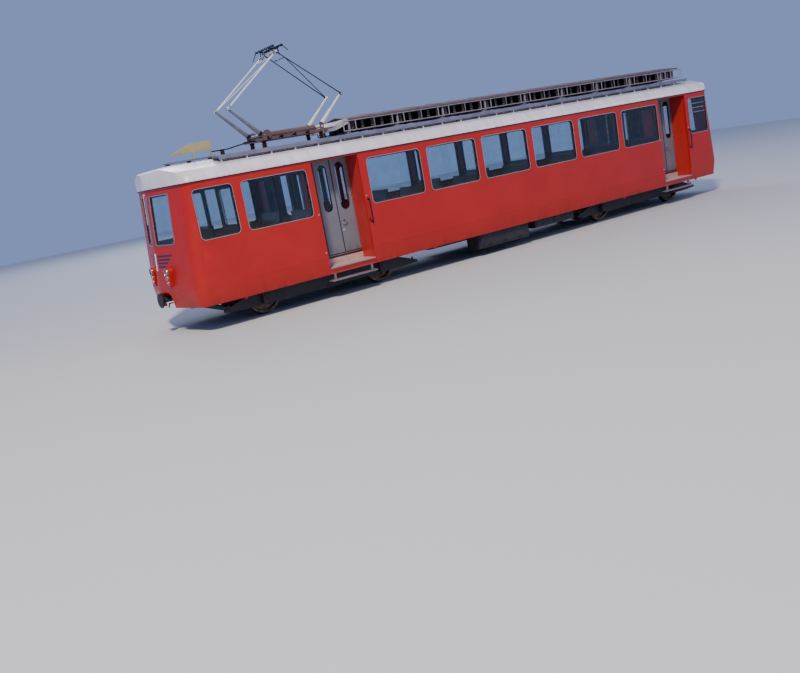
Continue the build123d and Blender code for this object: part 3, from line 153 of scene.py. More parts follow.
def end_finish(
        tree, colour, roughness, worn=None, spread=0.0, grain=None, relief=0.0, depth=0.001, **sockets):
    """Close a material; the roughness rises by a spread where it is worn, and a grain stands in relief."""
    if worn is not None:
        limits = {"Value": worn, "To Min": roughness, "To Max": roughness + spread}
        roughness = add_node(tree, "ShaderNodeMapRange", limits).outputs[0]
    inputs = {"Base Color": colour, "Roughness": roughness}
    if grain is not None:
        height = {"Height": grain, "Strength": relief, "Distance": depth}
        inputs["Normal"] = add_node(tree, "ShaderNodeBump", height).outputs["Normal"]
    inputs.update({name.replace("_", " "): value for name, value in sockets.items()})
    shader = add_node(tree, "ShaderNodeBsdfPrincipled", inputs)
    add_node(tree, "ShaderNodeOutputMaterial", {"Surface": shader.outputs["BSDF"]})


# %% [markdown]
# ## Patterns of a real size
# Wear comes in soft patches, from a finger's width on the benches to a metre on the sides. The grain of
# paint, casting or rubber is much finer than a pixel of the picture, so it is drawn 4 to 17 mm wide,
# coarser than the real thing, and even then it shows only from close by. An image could hold such
# patterns, but a noise in the surface's own coordinates needs no unwrapping.

# %% Pattern helpers


def patches(tree, place, size, low, high, stretch=None):
    """A mask from 0 to 1 in soft patches of one real size in metres."""
    if stretch is not None:
        place = add_node(tree, "ShaderNodeMapping", {"Vector": place, "Scale": stretch}).outputs["Vector"]
    noise = add_node(
        tree, "ShaderNodeTexNoise", {"Vector": place, "Scale": 1 / size, "Detail": 5, "Roughness": 0.6})
    limits = {"Value": noise.outputs["Fac"], "From Min": low, "From Max": high}
    return add_node(tree, "ShaderNodeMapRange", limits).outputs[0]


def fine_grain(tree, place, size_mm, detail=3):
    """An even grain of one real size in millimetres."""
    noise = {"Vector": place, "Scale": 1000 / size_mm, "Detail": detail}
    return add_node(tree, "ShaderNodeTexNoise", noise).outputs["Fac"]


def height_mask(tree, place, full, none):
    """A mask that runs from 1 at one height to 0 at another, which may lie above or below it."""
    height = add_node(tree, "ShaderNodeSeparateXYZ", {0: place}).outputs["Z"]
    limits = {"Value": height, "From Min": full, "From Max": none, "To Min": 1, "To Max": 0}
    return add_node(tree, "ShaderNodeMapRange", limits, interpolation_type="SMOOTHSTEP").outputs[0]


# %% [markdown]
# ## Sprayed paint
# The body is sprayed and baked in a glossy orange-red. Sun fades it in broad patches, brake dust darkens
# it towards the skirt, and the gloss shows the slight orange peel of sprayed enamel. One function gives
# all of that, so the doors, the chassis, the wedge board and the pantograph's base use it too, each with
# its own heights for the dust.

# %% Painted metals
PEEL_MM = 5.56


def painted_metal(name, paint, faded, dust, dust_low, dust_high, roughness, coat, peel):
    """Sprayed paint with sun-faded patches, dust that thickens downwards, and orange peel."""
    material, tree, place = start_finish(name)
    fade = patches(tree, place, 0.9, 0.4, 0.75)
    streaks = patches(tree, place, 0.12, 0.38, 0.7, stretch=(1, 1, 0.12))
    low_down = height_mask(tree, place, dust_low, dust_high)
    colour = lay_colours(tree, paint, (faded, fade), (dust, streaks, low_down))
    shine = patches(tree, place, 0.25, 0.35, 0.7)
    end_finish(
        tree, colour, roughness, worn=shine, spread=0.12, grain=fine_grain(tree, place, PEEL_MM, 2),
        relief=peel, depth=0.002, Coat_Weight=coat, Coat_Roughness=0.08)
    return material


# columns: slot, name, paint, faded, dust, height of full dust, height of none, roughness, coat, peel
painted_slots = (
    # Baked gloss enamel: an even orange-red with a broad shine
    ("body_enamel", "enamel_orange_red", "#AE0F06", "#B81A0D", "#820F08", 0.45, 0.80, 0.36, 0.05, 0.03),
    # Door enamel: a cool mid grey, half matt
    ("door_enamel", "enamel_door_grey", "#737580", "#7E808A", "#5F5D5C", 0.80, 1.10, 0.42, 0.1, 0.03),
    # Brushed chassis paint: nearly black with a blue cast, browned by dust
    ("chassis_paint", "chassis_blue_black", "#1E202C", "#292B3A", "#3A322C", 0.10, 0.60, 0.6, 0.0, 0.1),
    # Oil paint on the wooden wedge board: a dull cream
    ("board_paint", "board_cream", "#A3966C", "#B0A37A", "#6F6248", 3.35, 3.60, 0.55, 0.0, 0.08),
    # Primer, brushed: a matt red-brown, blackened by carbon below
    ("pantograph_primer", "primer_red_brown", "#5C4749", "#6E5658", "#2C2224", 3.40, 3.56, 0.6, 0.0, 0.1))
finishes = {slot: painted_metal(*values) for slot, *values in painted_slots}
print("painted", list(finishes))

# %% [markdown]
# ## Entry enamel
# One CAD node holds the whole doorway recess. On the real car its sill and side walls are in the body's
# red, the tread and its riser are a trodden beige, and the top of the step under the leaves and the post
# beside the leaves are door grey. The step's edge under the leaves is red in shadow there, so it gets a
# dark red as painted shade. The node could be cut into pieces with a finish each, but the surface's own
# coordinates tell its faces apart, so one material can paint them all.

# %% Entry recesses
DOORWAY_CENTRES = (-4.569, 6.290)
DOORWAY_HALF = 0.5675
DOOR_FACE_Y = 0.905
TREAD_LOW_Z, TREAD_HIGH_Z = 0.660, 0.668
TREAD_OUT_Y = 1.396
RISER_TOP_Z, POST_LOW_Z = 0.795, 0.838


def entry_finish():
    """Red sill and side walls, beige tread and riser, a dark red step edge as painted shade, and grey above
    it.
    """
    material, tree, place = start_finish("entry_enamel")
    axes = add_node(tree, "ShaderNodeSeparateXYZ", {0: place}).outputs
    side = add_node(tree, "ShaderNodeMath", {0: axes["Y"]}, operation="ABSOLUTE").outputs[0]
    # columns: measure, limit, which side of the limit
    tests = (
        (axes["Z"], TREAD_HIGH_Z, "LESS_THAN"), (axes["Z"], TREAD_LOW_Z, "GREATER_THAN"),
        (side, TREAD_OUT_Y, "LESS_THAN"), (side, DOOR_FACE_Y + 0.003, "LESS_THAN"),
        (axes["Z"], RISER_TOP_Z, "LESS_THAN"), (axes["Z"], POST_LOW_Z, "GREATER_THAN"))
    under, over, inside, behind, riser, post = (
        add_node(tree, "ShaderNodeMath", {0: measure, 1: limit}, operation=test).outputs[0]
        for measure, limit, test in tests)
    worn = patches(tree, place, 0.15, 0.35, 0.7)
    beige = lay_colours(tree, "#D2B3AC", ("#B0938C", worn))
    grey = lay_colours(tree, "#71737C", ("#646670", worn))
    # The dark red behind the door face, between riser and post, is painted shade on the step's edge
    colour = lay_colours(
        tree, "#BA2A24", ("#AC2620", worn), (beige, under, over, inside), ("#4A100E", behind),
        (beige, behind, riser), (grey, behind, post))
    end_finish(
        tree, colour, 0.38, grain=fine_grain(tree, place, 6.25, 2), relief=0.05, depth=0.002,
        Coat_Weight=0.2, Coat_Roughness=0.15)
    return material


finishes["entry_enamel"] = entry_finish()
print("entry painted up to", POST_LOW_Z)

# %% [markdown]
# ## Silver roof paint
# The roof is sheet steel in aluminium paint: fine flakes give it a pale, broad shine. A fully metallic
# shader would mirror the sky, so it is only a little metallic, with a thin coat. Rain draws streaks down
# the sides, and carbon from the collector leaves a pinkish grey along the top.

# %% Roof aluminium
FLAKE_MM = 4.17
CARBON_FULL_Z, CARBON_NONE_Z = 3.34, 3.22


def roof_finish():
    """Aluminium paint with rain streaks and carbon dust."""
    material, tree, place = start_finish("roof_aluminium_paint")
    streaks = patches(tree, place, 0.16, 0.42, 0.72, stretch=(1, 0.12, 0.12))
    clouds = patches(tree, place, 0.8, 0.42, 0.8)
    high_up = height_mask(tree, place, CARBON_FULL_Z, CARBON_NONE_Z)
    carbon = patches(tree, place, 0.3, 0.35, 0.65)
    colour = lay_colours(
        tree, "#F4EFF5", ("#D8D1DA", streaks), ("#DDD2D8", clouds), ("#9A9096", high_up, carbon))
    end_finish(
        tree, colour, 0.26, worn=clouds, spread=0.12, grain=fine_grain(tree, place, FLAKE_MM), relief=0.06,
        depth=0.002, Metallic=0.1, Coat_Weight=0.3, Coat_Roughness=0.2)
    return material


finishes["roof_aluminium"] = roof_finish()
print("flakes of", FLAKE_MM, "mm")

# %% [markdown]
# ## Glass
# The panes are toughened glass of 6 mm, and the lamps have pressed lenses with upright ribs. A little
# green and a trace of wiped dust keep the panes from looking like holes, and full transmission lets the
# far windows shine through the dark saloon. The ribs are a wave, drawn twice as wide as the real 6 mm.

# %% Window and lamp glass
RIB_PITCH = 0.01184
WAVES_AT_SCALE_ONE = 20 / (2 * pi)


def glass_finish(name, tint, roughness, ribbed):
    """Clear glass with faint wiping marks, or with upright ribs."""
    material, tree, place = start_finish(name)
    if ribbed:
        ribs = {"Vector": place, "Scale": 1 / (RIB_PITCH * WAVES_AT_SCALE_ONE)}
        marks = add_node(tree, "ShaderNodeTexWave", ribs, bands_direction="Y").outputs["Fac"]
    else:
        marks = patches(tree, place, 0.2, 0.45, 0.8)
    end_finish(
        tree, lay_colours(tree, tint, ("#DCE6E8", marks)), roughness, worn=marks, spread=0.05,
        grain=marks if ribbed else None, relief=0.6, depth=0.004, Transmission_Weight=1.0, IOR=1.45)
    return material


finishes["window_glass"] = glass_finish("glass_window", "#E4F1F2", 0.0, ribbed=False)
finishes["lamp_glass"] = glass_finish("glass_lamp", "#F4F5F2", 0.05, ribbed=True)
print("rib pitch", RIB_PITCH)

# %% [markdown]
# ## Bare and heat-browned metals
# Lamp rims and door fittings are chromed, rails and levers are dark steel, the window lips are alloy,
# the wheels are rolled steel browned by brake dust, and the resistor plates are browned by their own
# heat. A metal's colour is its reflection, so all are fully metallic and differ in tint and roughness.

# %% Metals
CASTING_MM = 8.33


def bare_metal(name, bright, stained, stain_size, roughness, spread, relief):
    """A metal whose stains, roughness and fine grain vary."""
    material, tree, place = start_finish(name)
    stain = patches(tree, place, stain_size, 0.4, 0.7)
    end_finish(
        tree, lay_colours(tree, bright, (stained, stain)), roughness, worn=stain, spread=spread,
        grain=fine_grain(tree, place, CASTING_MM, 4), relief=relief, Metallic=1.0)
    return material


# columns: finish, name, bright, stained, size of the stains, roughness, spread, relief
metals = (
    # Chromed brass, polished: a mirror with a breath of dull spots
    ("lamp_chrome", "chrome_lamp", "#E4E4E6", "#B9BABF", 0.05, 0.06, 0.12, 0.05),
    # The same chrome where hands and weather have touched it: a little softer
    ("worn_chrome", "chrome_bright", "#E4E4E6", "#B9BABF", 0.05, 0.08, 0.12, 0.05),
    # Drawn steel, blackened: a dark rail with a narrow highlight
    ("grab_rail_steel", "steel_rail_dark", "#4A3F40", "#352C2E", 0.1, 0.3, 0.2, 0.05),
    # Forged steel with a film of grease: nearly black, with a blue shine
    ("pantograph_steel", "lever_steel_dark", "#3A3B44", "#26272E", 0.1, 0.35, 0.2, 0.05),
    # Rolled steel, browned by brake dust: warm, uneven and half dull
    ("wheel_steel", "rolled_steel", "#6F625B", "#4A3A31", 0.08, 0.42, 0.3, 0.15),
    # Sheet steel, browned by its own heat: a dull violet-brown
    ("resistor_steel", "resistor_steel", "#4A3F42", "#2E2729", 0.2, 0.5, 0.2, 0.1),
    # Rolled aluminium alloy; round the windows and windscreens its pale line is painted highlight
    ("lip_alloy", "window_lip_alloy", "#D8CFC8", "#B5A39B", 0.05, 0.25, 0.2, 0.05))
finishes.update({finish: bare_metal(*values) for finish, *values in metals})
print("metals", len(metals))

# %% [markdown]
# ## Even paints, laminate, rubber and glaze
# Small fittings are painted in one colour, and the saloon has brown laminate on its walls and dark
# rubber on its floor. None of these is metallic. One function gives a base colour, a worn colour in
# patches and a fine grain, and each row says how strongly that grain stands out.

# %% Even finishes


def even_finish(name, base, worn, size, roughness, grain_mm, relief):
    """A painted, moulded or laid surface with faint wear and a fine grain."""
    material, tree, place = start_finish(name)
    wear = patches(tree, place, size, 0.4, 0.75)
    end_finish(
        tree, lay_colours(tree, base, (worn, wear)), roughness, worn=wear, spread=0.15,
        grain=fine_grain(tree, place, grain_mm), relief=relief)
    return material


# columns: finish, name, base, worn, size of the wear, roughness, grain in mm, relief
even_finishes = (
    # Aluminium paint on the pantograph's tubes: nearly white against the sky
    ("tube_white", "tube_aluminium_paint", "#D9DBDC", "#C3C5C9", 0.3, 0.3, 11.1, 0.02),
    # Grey on its lower arms at the valley end: painted shade, as these arms are like the white ones
    ("tube_grey", "tube_grey_paint", "#6C6E78", "#565862", 0.4, 0.35, 11.1, 0.02),
    # Weathered grey paint on the resistor frames and loops
    ("frame_grey", "frame_light_grey", "#94919B", "#76737D", 0.2, 0.45, 11.1, 0.05),
    # Paint browned by the resistors' heat: matt
    ("guard_brown", "guard_heat_brown", "#6E5A60", "#54464C", 0.3, 0.55, 11.1, 0.1),
    # Sheet under the ramp, away from the heat: still light grey
    ("ramp_grey", "ramp_light_grey", "#A9A7AE", "#8C8A92", 0.2, 0.5, 11.1, 0.05),
    # Footboard paint, trodden: rough and blotched
    ("board_grey", "footboard_worn_grey", "#7C7280", "#625A68", 0.15, 0.6, 11.1, 0.2),
    # Melamine laminate, pressed: a dark brown that barely shines behind the glass
    ("interior_laminate", "laminate_brown", "#4A3E34", "#3C322A", 0.3, 0.45, 5.0, 0.1),
    # Rubber sheet, calendered: almost black and matt
    ("floor_rubber", "floor_rubber", "#1E1F21", "#161617", 0.2, 0.7, 11.1, 0.3),
    # Glazed porcelain, fired: wet-looking dark brown
    ("insulator_glaze", "porcelain_brown_glaze", "#33201D", "#241513", 0.05, 0.12, 16.7, 0.02),
    # Extruded sealing rubber: a black line with no highlight
    ("sealing_rubber", "sealing_rubber", "#17181B", "#26272B", 0.1, 0.6, 6.67, 0.2),
    # Maroon gloss paint on the push buttons; on the gutter the dark maroon is painted shade under the roof
    ("maroon_and_gutter_shade", "maroon_and_gutter_shade", "#3A0F16", "#2A0B10", 0.2, 0.4, 6.67, 0.05),
    # Violet gloss paint of the stripes on the nose
    ("stripe_violet", "stripe_violet", "#2A2050", "#221A42", 0.1, 0.35, 6.67, 0.05),
    # White gloss enamel, faintly pink from rust, on ridge bars, wipers and walk feet; on the pegs, painted
    # glints
    ("white_and_painted_glint", "white_enamel_and_glint", "#E8DCE0", "#CFC0C4", 0.05, 0.3, 6.67, 0.05))
finishes.update({finish: even_finish(*values) for finish, *values in even_finishes})
print("even finishes", len(even_finishes))

# %% [markdown]
# ## Wood, the resistor cover and the walkways
# The benches are slats of varnished beech, whose grain is a noise stretched along the slats, which run
# across the car. Two CAD nodes need two colours each: the resistor cover is brown except for the light
# ramp at its valley end, and the walkways are blue-grey planks on pale feet. As at the entries, a limit
# in the surface's own coordinates parts the colours.

# %% Finishes with a direction or a limit
OXIDE_MM = 11.1
PLANK_GRIT_MM = 8.33
RAMP_X = -3.560
WALK_FEET_TOP_Z = 3.233


def wood_finish():
    """Varnished beech with its grain along Y."""
    material, tree, place = start_finish("beech_varnished")
    grain = patches(tree, place, 0.012, 0.3, 0.7, stretch=(1, 0.06, 1))
    end_finish(
        tree, lay_colours(tree, "#5C3A1E", ("#3E2512", grain)), 0.32, grain=grain, relief=0.1,
        Coat_Weight=0.5, Coat_Roughness=0.12)
    return material


def two_part_finish(name, axis, limit, wear_low, below, above, grain_mm):
    """One colour pair below a limit on an axis and another above it, on rough paint."""
    material, tree, place = start_finish(name)
    worn = patches(tree, place, 0.3, wear_low, 0.75)
    measure = add_node(tree, "ShaderNodeSeparateXYZ", {0: place}).outputs[axis]
    is_below = add_node(tree, "ShaderNodeMath", {0: measure, 1: limit}, operation="LESS_THAN").outputs[0]
    below_colour = lay_colours(tree, below[0], (below[1], worn))
    colour = lay_colours(tree, above[0], (above[1], worn), (below_colour, is_below))
    end_finish(tree, colour, 0.55, grain=fine_grain(tree, place, grain_mm), relief=0.1)
    return material


finishes["bench_wood"] = wood_finish()
finishes["cover_brown"] = two_part_finish(
    "cover_heat_brown", "X", RAMP_X, 0.4, ("#B4B2B8", "#98959C"), ("#7A666A", "#5E5056"), OXIDE_MM)
finishes["walkway_paint"] = two_part_finish(
    "walkway_blue_grey", "Z", WALK_FEET_TOP_Z, 0.35, ("#BDBABF", "#98959B"), ("#5E6078", "#787890"),
    PLANK_GRIT_MM)
print("finishes", len(finishes))

# %% [markdown]
# ## Dress the CAD nodes
# Each node's record names a slot, and the slot names the finish. A few nodes depart from it, because the
# pantograph's arms and the roof gear are painted in several colours; the grey of the valley end's lower
# arms is painted shade. A short table of those nodes is easier to follow than a slot for each.

# %% Finishes on the nodes
special_finishes = {
    "lower_arms_valley": "tube_grey", "lower_arms_mountain": "tube_white", "upper_arms_valley": "tube_white",
    "resistor_frames": "frame_grey", "resistor_cover": "cover_brown", "footboards": "board_grey"}
for name, node in frame["nodes"].items():
    node.data.materials.clear()
    node.data.materials.append(finishes[special_finishes.get(name, slot_of_node[name])])
print("dressed", len(frame["nodes"]), "nodes,", len(special_finishes), "of them specially")

# %% [markdown]
# ## Helpers for the pieces
# A piece is made in a bmesh, right where it belongs, then closed with one call that names it, the
# record's material slot, the body that it rides on and, where it departs from the slot's, its finish.
# Most pieces are made for one side or end, and the same call mirrors them. Edges sharper than 35 degrees
# stay sharp.

# %% Piece helpers
SHARP = radians(35)
made_triangles = {}


def everything(bm):
    """All points, edges and faces of a bmesh."""
    return bm.verts[:] + bm.edges[:] + bm.faces[:]


def mirror_piece(bm, axis):
    """Add the mirror image across the middle of the car."""
    bmesh.ops.mirror(bm, geom=everything(bm), matrix=Matrix(), merge_dist=-1, axis=axis)


def end_piece(bm, name, slot, body="carbody", finish=None, mirror=""):
    """Mirror a bmesh across each axis named and turn it into a piece that rides on a body."""
    for axis in mirror:
        mirror_piece(bm, axis)
    bmesh.ops.recalc_face_normals(bm, faces=bm.faces)
    for face in bm.faces:
        face.smooth = True
    for edge in bm.edges:
        edge.smooth = edge.calc_face_angle(pi) < SHARP
    mesh = bpy.data.meshes.new(name)
    made_triangles[name] = sum(len(face.verts) - 2 for face in bm.faces)
    bm.to_mesh(mesh)
    bm.free()
    piece = bpy.data.objects.new(name, mesh)
    bpy.context.scene.collection.objects.link(piece)
    mesh.materials.append(finishes[finish or slot])
    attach(piece, body)
    print("piece", name, made_triangles[name], "triangles")
    return piece


# %% [markdown]
# ## Blocks, bars and bolts
# Most fittings are folded sheet, round bar or bolts. Their points could be listed one by one, but the
# operators that create a cube or a cone place them in one call. A small bevel on the blocks gives their
# edges the highlight that real sheet and bar have.

# %% Blocks and bars


def add_block(bm, low, high, bevel=0.0):
    """A box between two corners, with rounded edges."""
    made = bmesh.ops.create_cube(bm, size=1)["verts"]
    low, high = Vector(low), Vector(high)
    bmesh.ops.scale(bm, vec=high - low, verts=made)
    bmesh.ops.translate(bm, vec=(low + high) / 2, verts=made)
    if bevel:
        edges = list({edge for vert in made for edge in vert.link_edges})
        bmesh.ops.bevel(bm, geom=edges, offset=bevel, segments=2, profile=0.5, affect="EDGES", material=-1)


def add_rod(bm, start, end, radius, end_radius=None, segments=12):
    """A round bar from one point to another."""
    start, end = Vector(start), Vector(end)
    run = end - start
    place = Matrix.Translation((start + end) / 2) @ run.to_track_quat("Z", "Y").to_matrix().to_4x4()
    bmesh.ops.create_cone(
        bm, cap_ends=True, segments=segments, radius1=radius,
        radius2=radius if end_radius is None else end_radius, depth=run.length, matrix=place)


def add_path(bm, points, radius, segments=10):
    """Round bars from point to point, with a ball at each bend."""
    for start, end in zip(points, points[1:]):
        add_rod(bm, start, end, radius, segments=segments)
    for point in points[1:-1]:
        bmesh.ops.create_uvsphere(
            bm, u_segments=segments, v_segments=6, radius=radius, matrix=Matrix.Translation(point))


def add_bolt(bm, place, way, radius, height):
    """A six-sided bolt head that stands on a surface."""
    add_rod(bm, place, Vector(place) + Vector(way) * height, radius, segments=6)


def bolt_circle(bm, centre, radius, bolts, along, bolt_radius, bolt_height):
    """Bolt heads on a circle round an axis that points one way along X or Y."""
    across = Vector((0, 1, 0)) if along[0] else Vector((1, 0, 0))
    for k in range(bolts):
        turn = 2 * pi / bolts * k
        spot = Vector(centre) + radius * (across * cos(turn) + Vector((0, 0, sin(turn))))
        add_bolt(bm, spot, along, bolt_radius, bolt_height)


# %% [markdown]
# ## Rounded rings and panes
# Window lips, seals and panes share one outline: a rectangle with rounded corners. It starts as a flat
# square whose corners are bevelled. An inset leaves a rim of it, and an extrusion gives it thickness.

# %% Outlines


def lift_outline(bm, before, faces, depth, place):
    """Give flat faces a thickness along Z and put everything made since a mark in place."""
    lifted = bmesh.ops.extrude_face_region(bm, geom=faces, use_keep_orig=True)["geom"]
    lifted_verts = [part for part in lifted if isinstance(part, bmesh.types.BMVert)]
    bmesh.ops.translate(bm, vec=(0, 0, depth), verts=lifted_verts)
    verts = {vert for face in bm.faces if face not in before for vert in face.verts}
    bmesh.ops.transform(bm, matrix=place, verts=list(verts))


def rounded_outline(bm, width, height, corner):
    """One flat face with rounded corners round the origin in XY."""
    before = set(bm.faces)
    made = bmesh.ops.create_grid(bm, x_segments=1, y_segments=1, size=0.5)["verts"]
    bmesh.ops.scale(bm, vec=(width, height, 1), verts=made)
    bmesh.ops.bevel(
        bm, geom=made, offset=corner, segments=6, profile=0.5, affect="VERTICES", material=-1)
    return before, next(face for face in bm.faces if face not in before)


def add_ring(bm, width, height, corner, rim, depth, place):
    """A rounded rectangular ring, rim wide and depth thick, turned to its place by a matrix."""
    before, outline = rounded_outline(bm, width, height, corner)
    rim_faces = bmesh.ops.inset_region(
        bm, faces=[outline], thickness=rim, use_boundary=True, use_even_offset=True)["faces"]
    bmesh.ops.delete(bm, geom=[outline], context="FACES_ONLY")
    lift_outline(bm, before, rim_faces, depth, place)


def add_pane(bm, width, height, corner, depth, place):
    """A rounded rectangular plate, depth thick, turned to its place by a matrix."""
    before, outline = rounded_outline(bm, width, height, corner)
    lift_outline(bm, before, [outline], depth, place)


def add_loop(bm, ring_radius, wire, place, steps=24):
    """A round bar bent into a ring in XY."""
    before = set(bm.verts)
    section = Matrix.Translation((ring_radius, 0, 0)) @ Matrix.Rotation(pi / 2, 4, "X")
    circle = bmesh.ops.create_circle(bm, cap_ends=False, segments=8, radius=wire, matrix=section)["verts"]
    edges = [edge for edge in bm.edges if all(vert in circle for vert in edge.verts)]
    bmesh.ops.spin(
        bm, geom=circle + edges, cent=(0, 0, 0), axis=(0, 0, 1), angle=2 * pi, steps=steps,
        use_merge=True, use_normal_flip=False)
    bmesh.ops.transform(bm, matrix=place, verts=[vert for vert in bm.verts if vert not in before])


# Faces of the outline helpers look along +Z; these turn them to the near side, the far side and the prow
TO_NEAR_SIDE = Matrix.Rotation(pi / 2, 4, "X")
TO_FAR_SIDE = Matrix.Rotation(pi, 4, "Z") @ TO_NEAR_SIDE
TO_PROW = Matrix(((0, 0, 1, 0), (1, 0, 0, 0), (0, 1, 0, 0), (0, 0, 0, 1)))

# %% [markdown]
# ## Where the corners run
# Seen from a step away, the corners between prow and sides are generous curves, wider than the bend of
# the CAD panels. A bevel on the merged panels would meet their window cuts, so the points are moved
# instead. For that the body's and the roof's plan are written as a ridge and a half width at each height,
# and from them comes the centre of a corner's arc.

# %% Plans of the body and the roof
BODY_HALF = 1.400
BODY_CREASE_Z, BODY_CANT_Z, BODY_SKIRT_Z = 0.900, 2.890, 0.530
RIDGE_CREASE, RIDGE_CANT, RIDGE_SKIRT = 8.330, 8.160, 8.280
SKIRT_TUCK = 0.050
ROOF_RIDGE, ROOF_HALF = 8.185, 1.412
ROOF_LOW_Z, ROOF_HIGH_Z = 2.890, 3.300
SWEEP = radians(11.5)
TIGHT_CORNER, WIDE_CORNER = 0.100, 0.240


def body_plan(z):
    """The ridge and the half width of the body at one height."""
    if z >= BODY_CREASE_Z:
        up = (z - BODY_CREASE_Z) / (BODY_CANT_Z - BODY_CREASE_Z)
        return RIDGE_CREASE + (RIDGE_CANT - RIDGE_CREASE) * up, BODY_HALF
    up = (z - BODY_SKIRT_Z) / (BODY_CREASE_Z - BODY_SKIRT_Z)
    return RIDGE_SKIRT + (RIDGE_CREASE - RIDGE_SKIRT) * up, BODY_HALF - SKIRT_TUCK * (1 - up)


def roof_plan(z):
    """The ridge and the half width of the roof, the same at every height."""
    return ROOF_RIDGE, ROOF_HALF


def corner_centre(plan, z, radius):
    """Centre of a corner's arc at one height, in the quarter where x and y are positive."""
    ridge, half = plan(z)
    y = half - radius
    return Vector((ridge - y * tan(SWEEP) - radius / cos(SWEEP), y))


def in_corner(offset):
    """Whether an offset from the centre points between the side's normal and the prow's."""
    return offset.x > 0 and offset.y * cos(SWEEP) > offset.x * sin(SWEEP)


print("corner centre at the crease", tuple(corner_centre(body_plan, BODY_CREASE_Z, WIDE_CORNER)))

# %% [markdown]
# ## Rounded body corners
# The panels' own meshes are copied and merged, and cut by planes that fan out from the corner's axis.
# Every point in the corner is then moved radially onto the wider arc. A point keeps its depth under the
# skin, so the inner wall follows. The roof gets the same treatment above. Normals weighted by the area of
# the faces keep the flat sides flat where they run into the curve.

# %% End shells and roof with wide corners
FAN_CUTS = 9
MERGE_DISTANCE = 0.00001


def round_corners(bm, plan):
    """Move the points in the four corners from the tight arc to the wide one."""
    for vert in bm.verts:
        flat = Vector((abs(vert.co.x), abs(vert.co.y)))
        wide = corner_centre(plan, vert.co.z, WIDE_CORNER)
        if not in_corner(flat - wide):
            continue
        ridge, half = plan(vert.co.z)
        tight = corner_centre(plan, vert.co.z, TIGHT_CORNER)
        depth = min(half - flat.y, (ridge - flat.y * tan(SWEEP) - flat.x) * cos(SWEEP))
        if in_corner(flat - tight):
            depth = TIGHT_CORNER - (flat - tight).length
        if depth < WIDE_CORNER:
            moved = wide + (flat - wide).normalized() * (WIDE_CORNER - depth)
            vert.co.x = moved.x if vert.co.x > 0 else -moved.x
            vert.co.y = moved.y if vert.co.y > 0 else -moved.y


def fan_cuts(bm, plan, low_z, high_z, ends):
    """Cut a mesh by planes that fan out from the axis of each corner."""
    low, high = (corner_centre(plan, z, WIDE_CORNER) for z in (low_z, high_z))
    for x_way in ends:
        for y_way in (-1, 1):
            foot = Vector((low.x * x_way, low.y * y_way, low_z))
            axis = Vector((high.x * x_way, high.y * y_way, high_z)) - foot
            for i in range(FAN_CUTS + 1):
                turn = (pi / 2 - SWEEP) * i / FAN_CUTS
                spoke = Vector((sin(turn) * x_way, cos(turn) * y_way, 0))
                bmesh.ops.bisect_plane(bm, geom=everything(bm), plane_co=foot, plane_no=axis.cross(spoke))


def widened_skin(node, name, slot, plan, low_z, high_z, ends):
    """A copy of a CAD node with wide corners, which takes the node's place."""
    bm = bmesh.new()
    bm.from_mesh(frame["nodes"][node].data)
    bmesh.ops.remove_doubles(bm, verts=bm.verts, dist=MERGE_DISTANCE)
    fan_cuts(bm, plan, low_z, high_z, ends)
    round_corners(bm, plan)
    piece = end_piece(bm, name, slot)
    weights = piece.modifiers.new("weights", "WEIGHTED_NORMAL")
    weights.mode = "FACE_AREA"
    weights.keep_sharp = True
    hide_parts(node)
    return piece


for end, x_way in (("valley", -1), ("mountain", 1)):
    widened_skin(
        f"end_shell_{end}", f"prow_skin_{end}", "body_enamel", body_plan, BODY_CREASE_Z, BODY_CANT_Z,
        (x_way,))
roof_skin = widened_skin(
    "roof", "roof_skin", "roof_aluminium", roof_plan, ROOF_LOW_Z, ROOF_HIGH_Z, (-1, 1))
print("corners widened to", WIDE_CORNER)

# %% [markdown]
# ## Window lips
# The side panes sit in the wall without outside frames. A thin alloy lip runs round each opening, its pale
# line a painted highlight on the wall's rounded return; black rubber holds the pane behind it, and laminate
# frames it inside. A curve with a bevelled section would do for these, but a ring cut from a flat outline
# has the square edges of folded metal. The rings are made on the near side, mirrored, and bent with the
# body's corners.

# %% Side window lips, seals and inner frames
WINDOW_LOW, WINDOW_HIGH = 1.790, 2.760
SALOON_WINDOW_X, SALOON_WINDOW_PITCH, SALOON_WINDOW_WIDTH = -3.103, 1.608, 1.415
SALOON_WINDOWS = 6
window_height = WINDOW_HIGH - WINDOW_LOW
window_mid = (WINDOW_HIGH + WINDOW_LOW) / 2
# columns: centre x, width
side_windows = [(-7.354, 0.832), (7.381, 0.774), (-6.020, 1.469)]
side_windows += [
    (SALOON_WINDOW_X + SALOON_WINDOW_PITCH * i, SALOON_WINDOW_WIDTH) for i in range(SALOON_WINDOWS)]

# The lips' pale alloy is painted highlight on the wall's rounded return
# columns: name, grown by, corner, rim, depth, y of the back, slot, finish
window_rings = (
    ("window_lips", 0.012, 0.096, 0.013, 0.008, BODY_HALF - 0.003, "grab_rail_steel", "lip_alloy"),
    ("window_seals", -0.002, 0.089, 0.016, 0.012, BODY_HALF - 0.022, "floor_rubber", "sealing_rubber"),
    ("window_inner_frames", 0.050, 0.115, 0.050, 0.014, 1.327, "interior_laminate", "interior_laminate"))
for name, grown, corner, rim, depth, back_y, slot, finish in window_rings:
    bm = bmesh.new()
    for x, width in side_windows:
        place = Matrix.Translation((x, -back_y, window_mid)) @ TO_NEAR_SIDE
        add_ring(bm, width + grown, window_height + grown, corner, rim, depth, place)
    mirror_piece(bm, "Y")
    round_corners(bm, body_plan)
    end_piece(bm, name, slot, finish=finish)

# %% [markdown]
# ## The prow
# Both ends rise to a low ridge in the middle and lean back. A flat ring or strip could be turned to that
# plane by three angles, but it is simpler to make it in front view and shear it: each point moves along
# X to where the prow is at its width and height.

# %% Windscreen frames


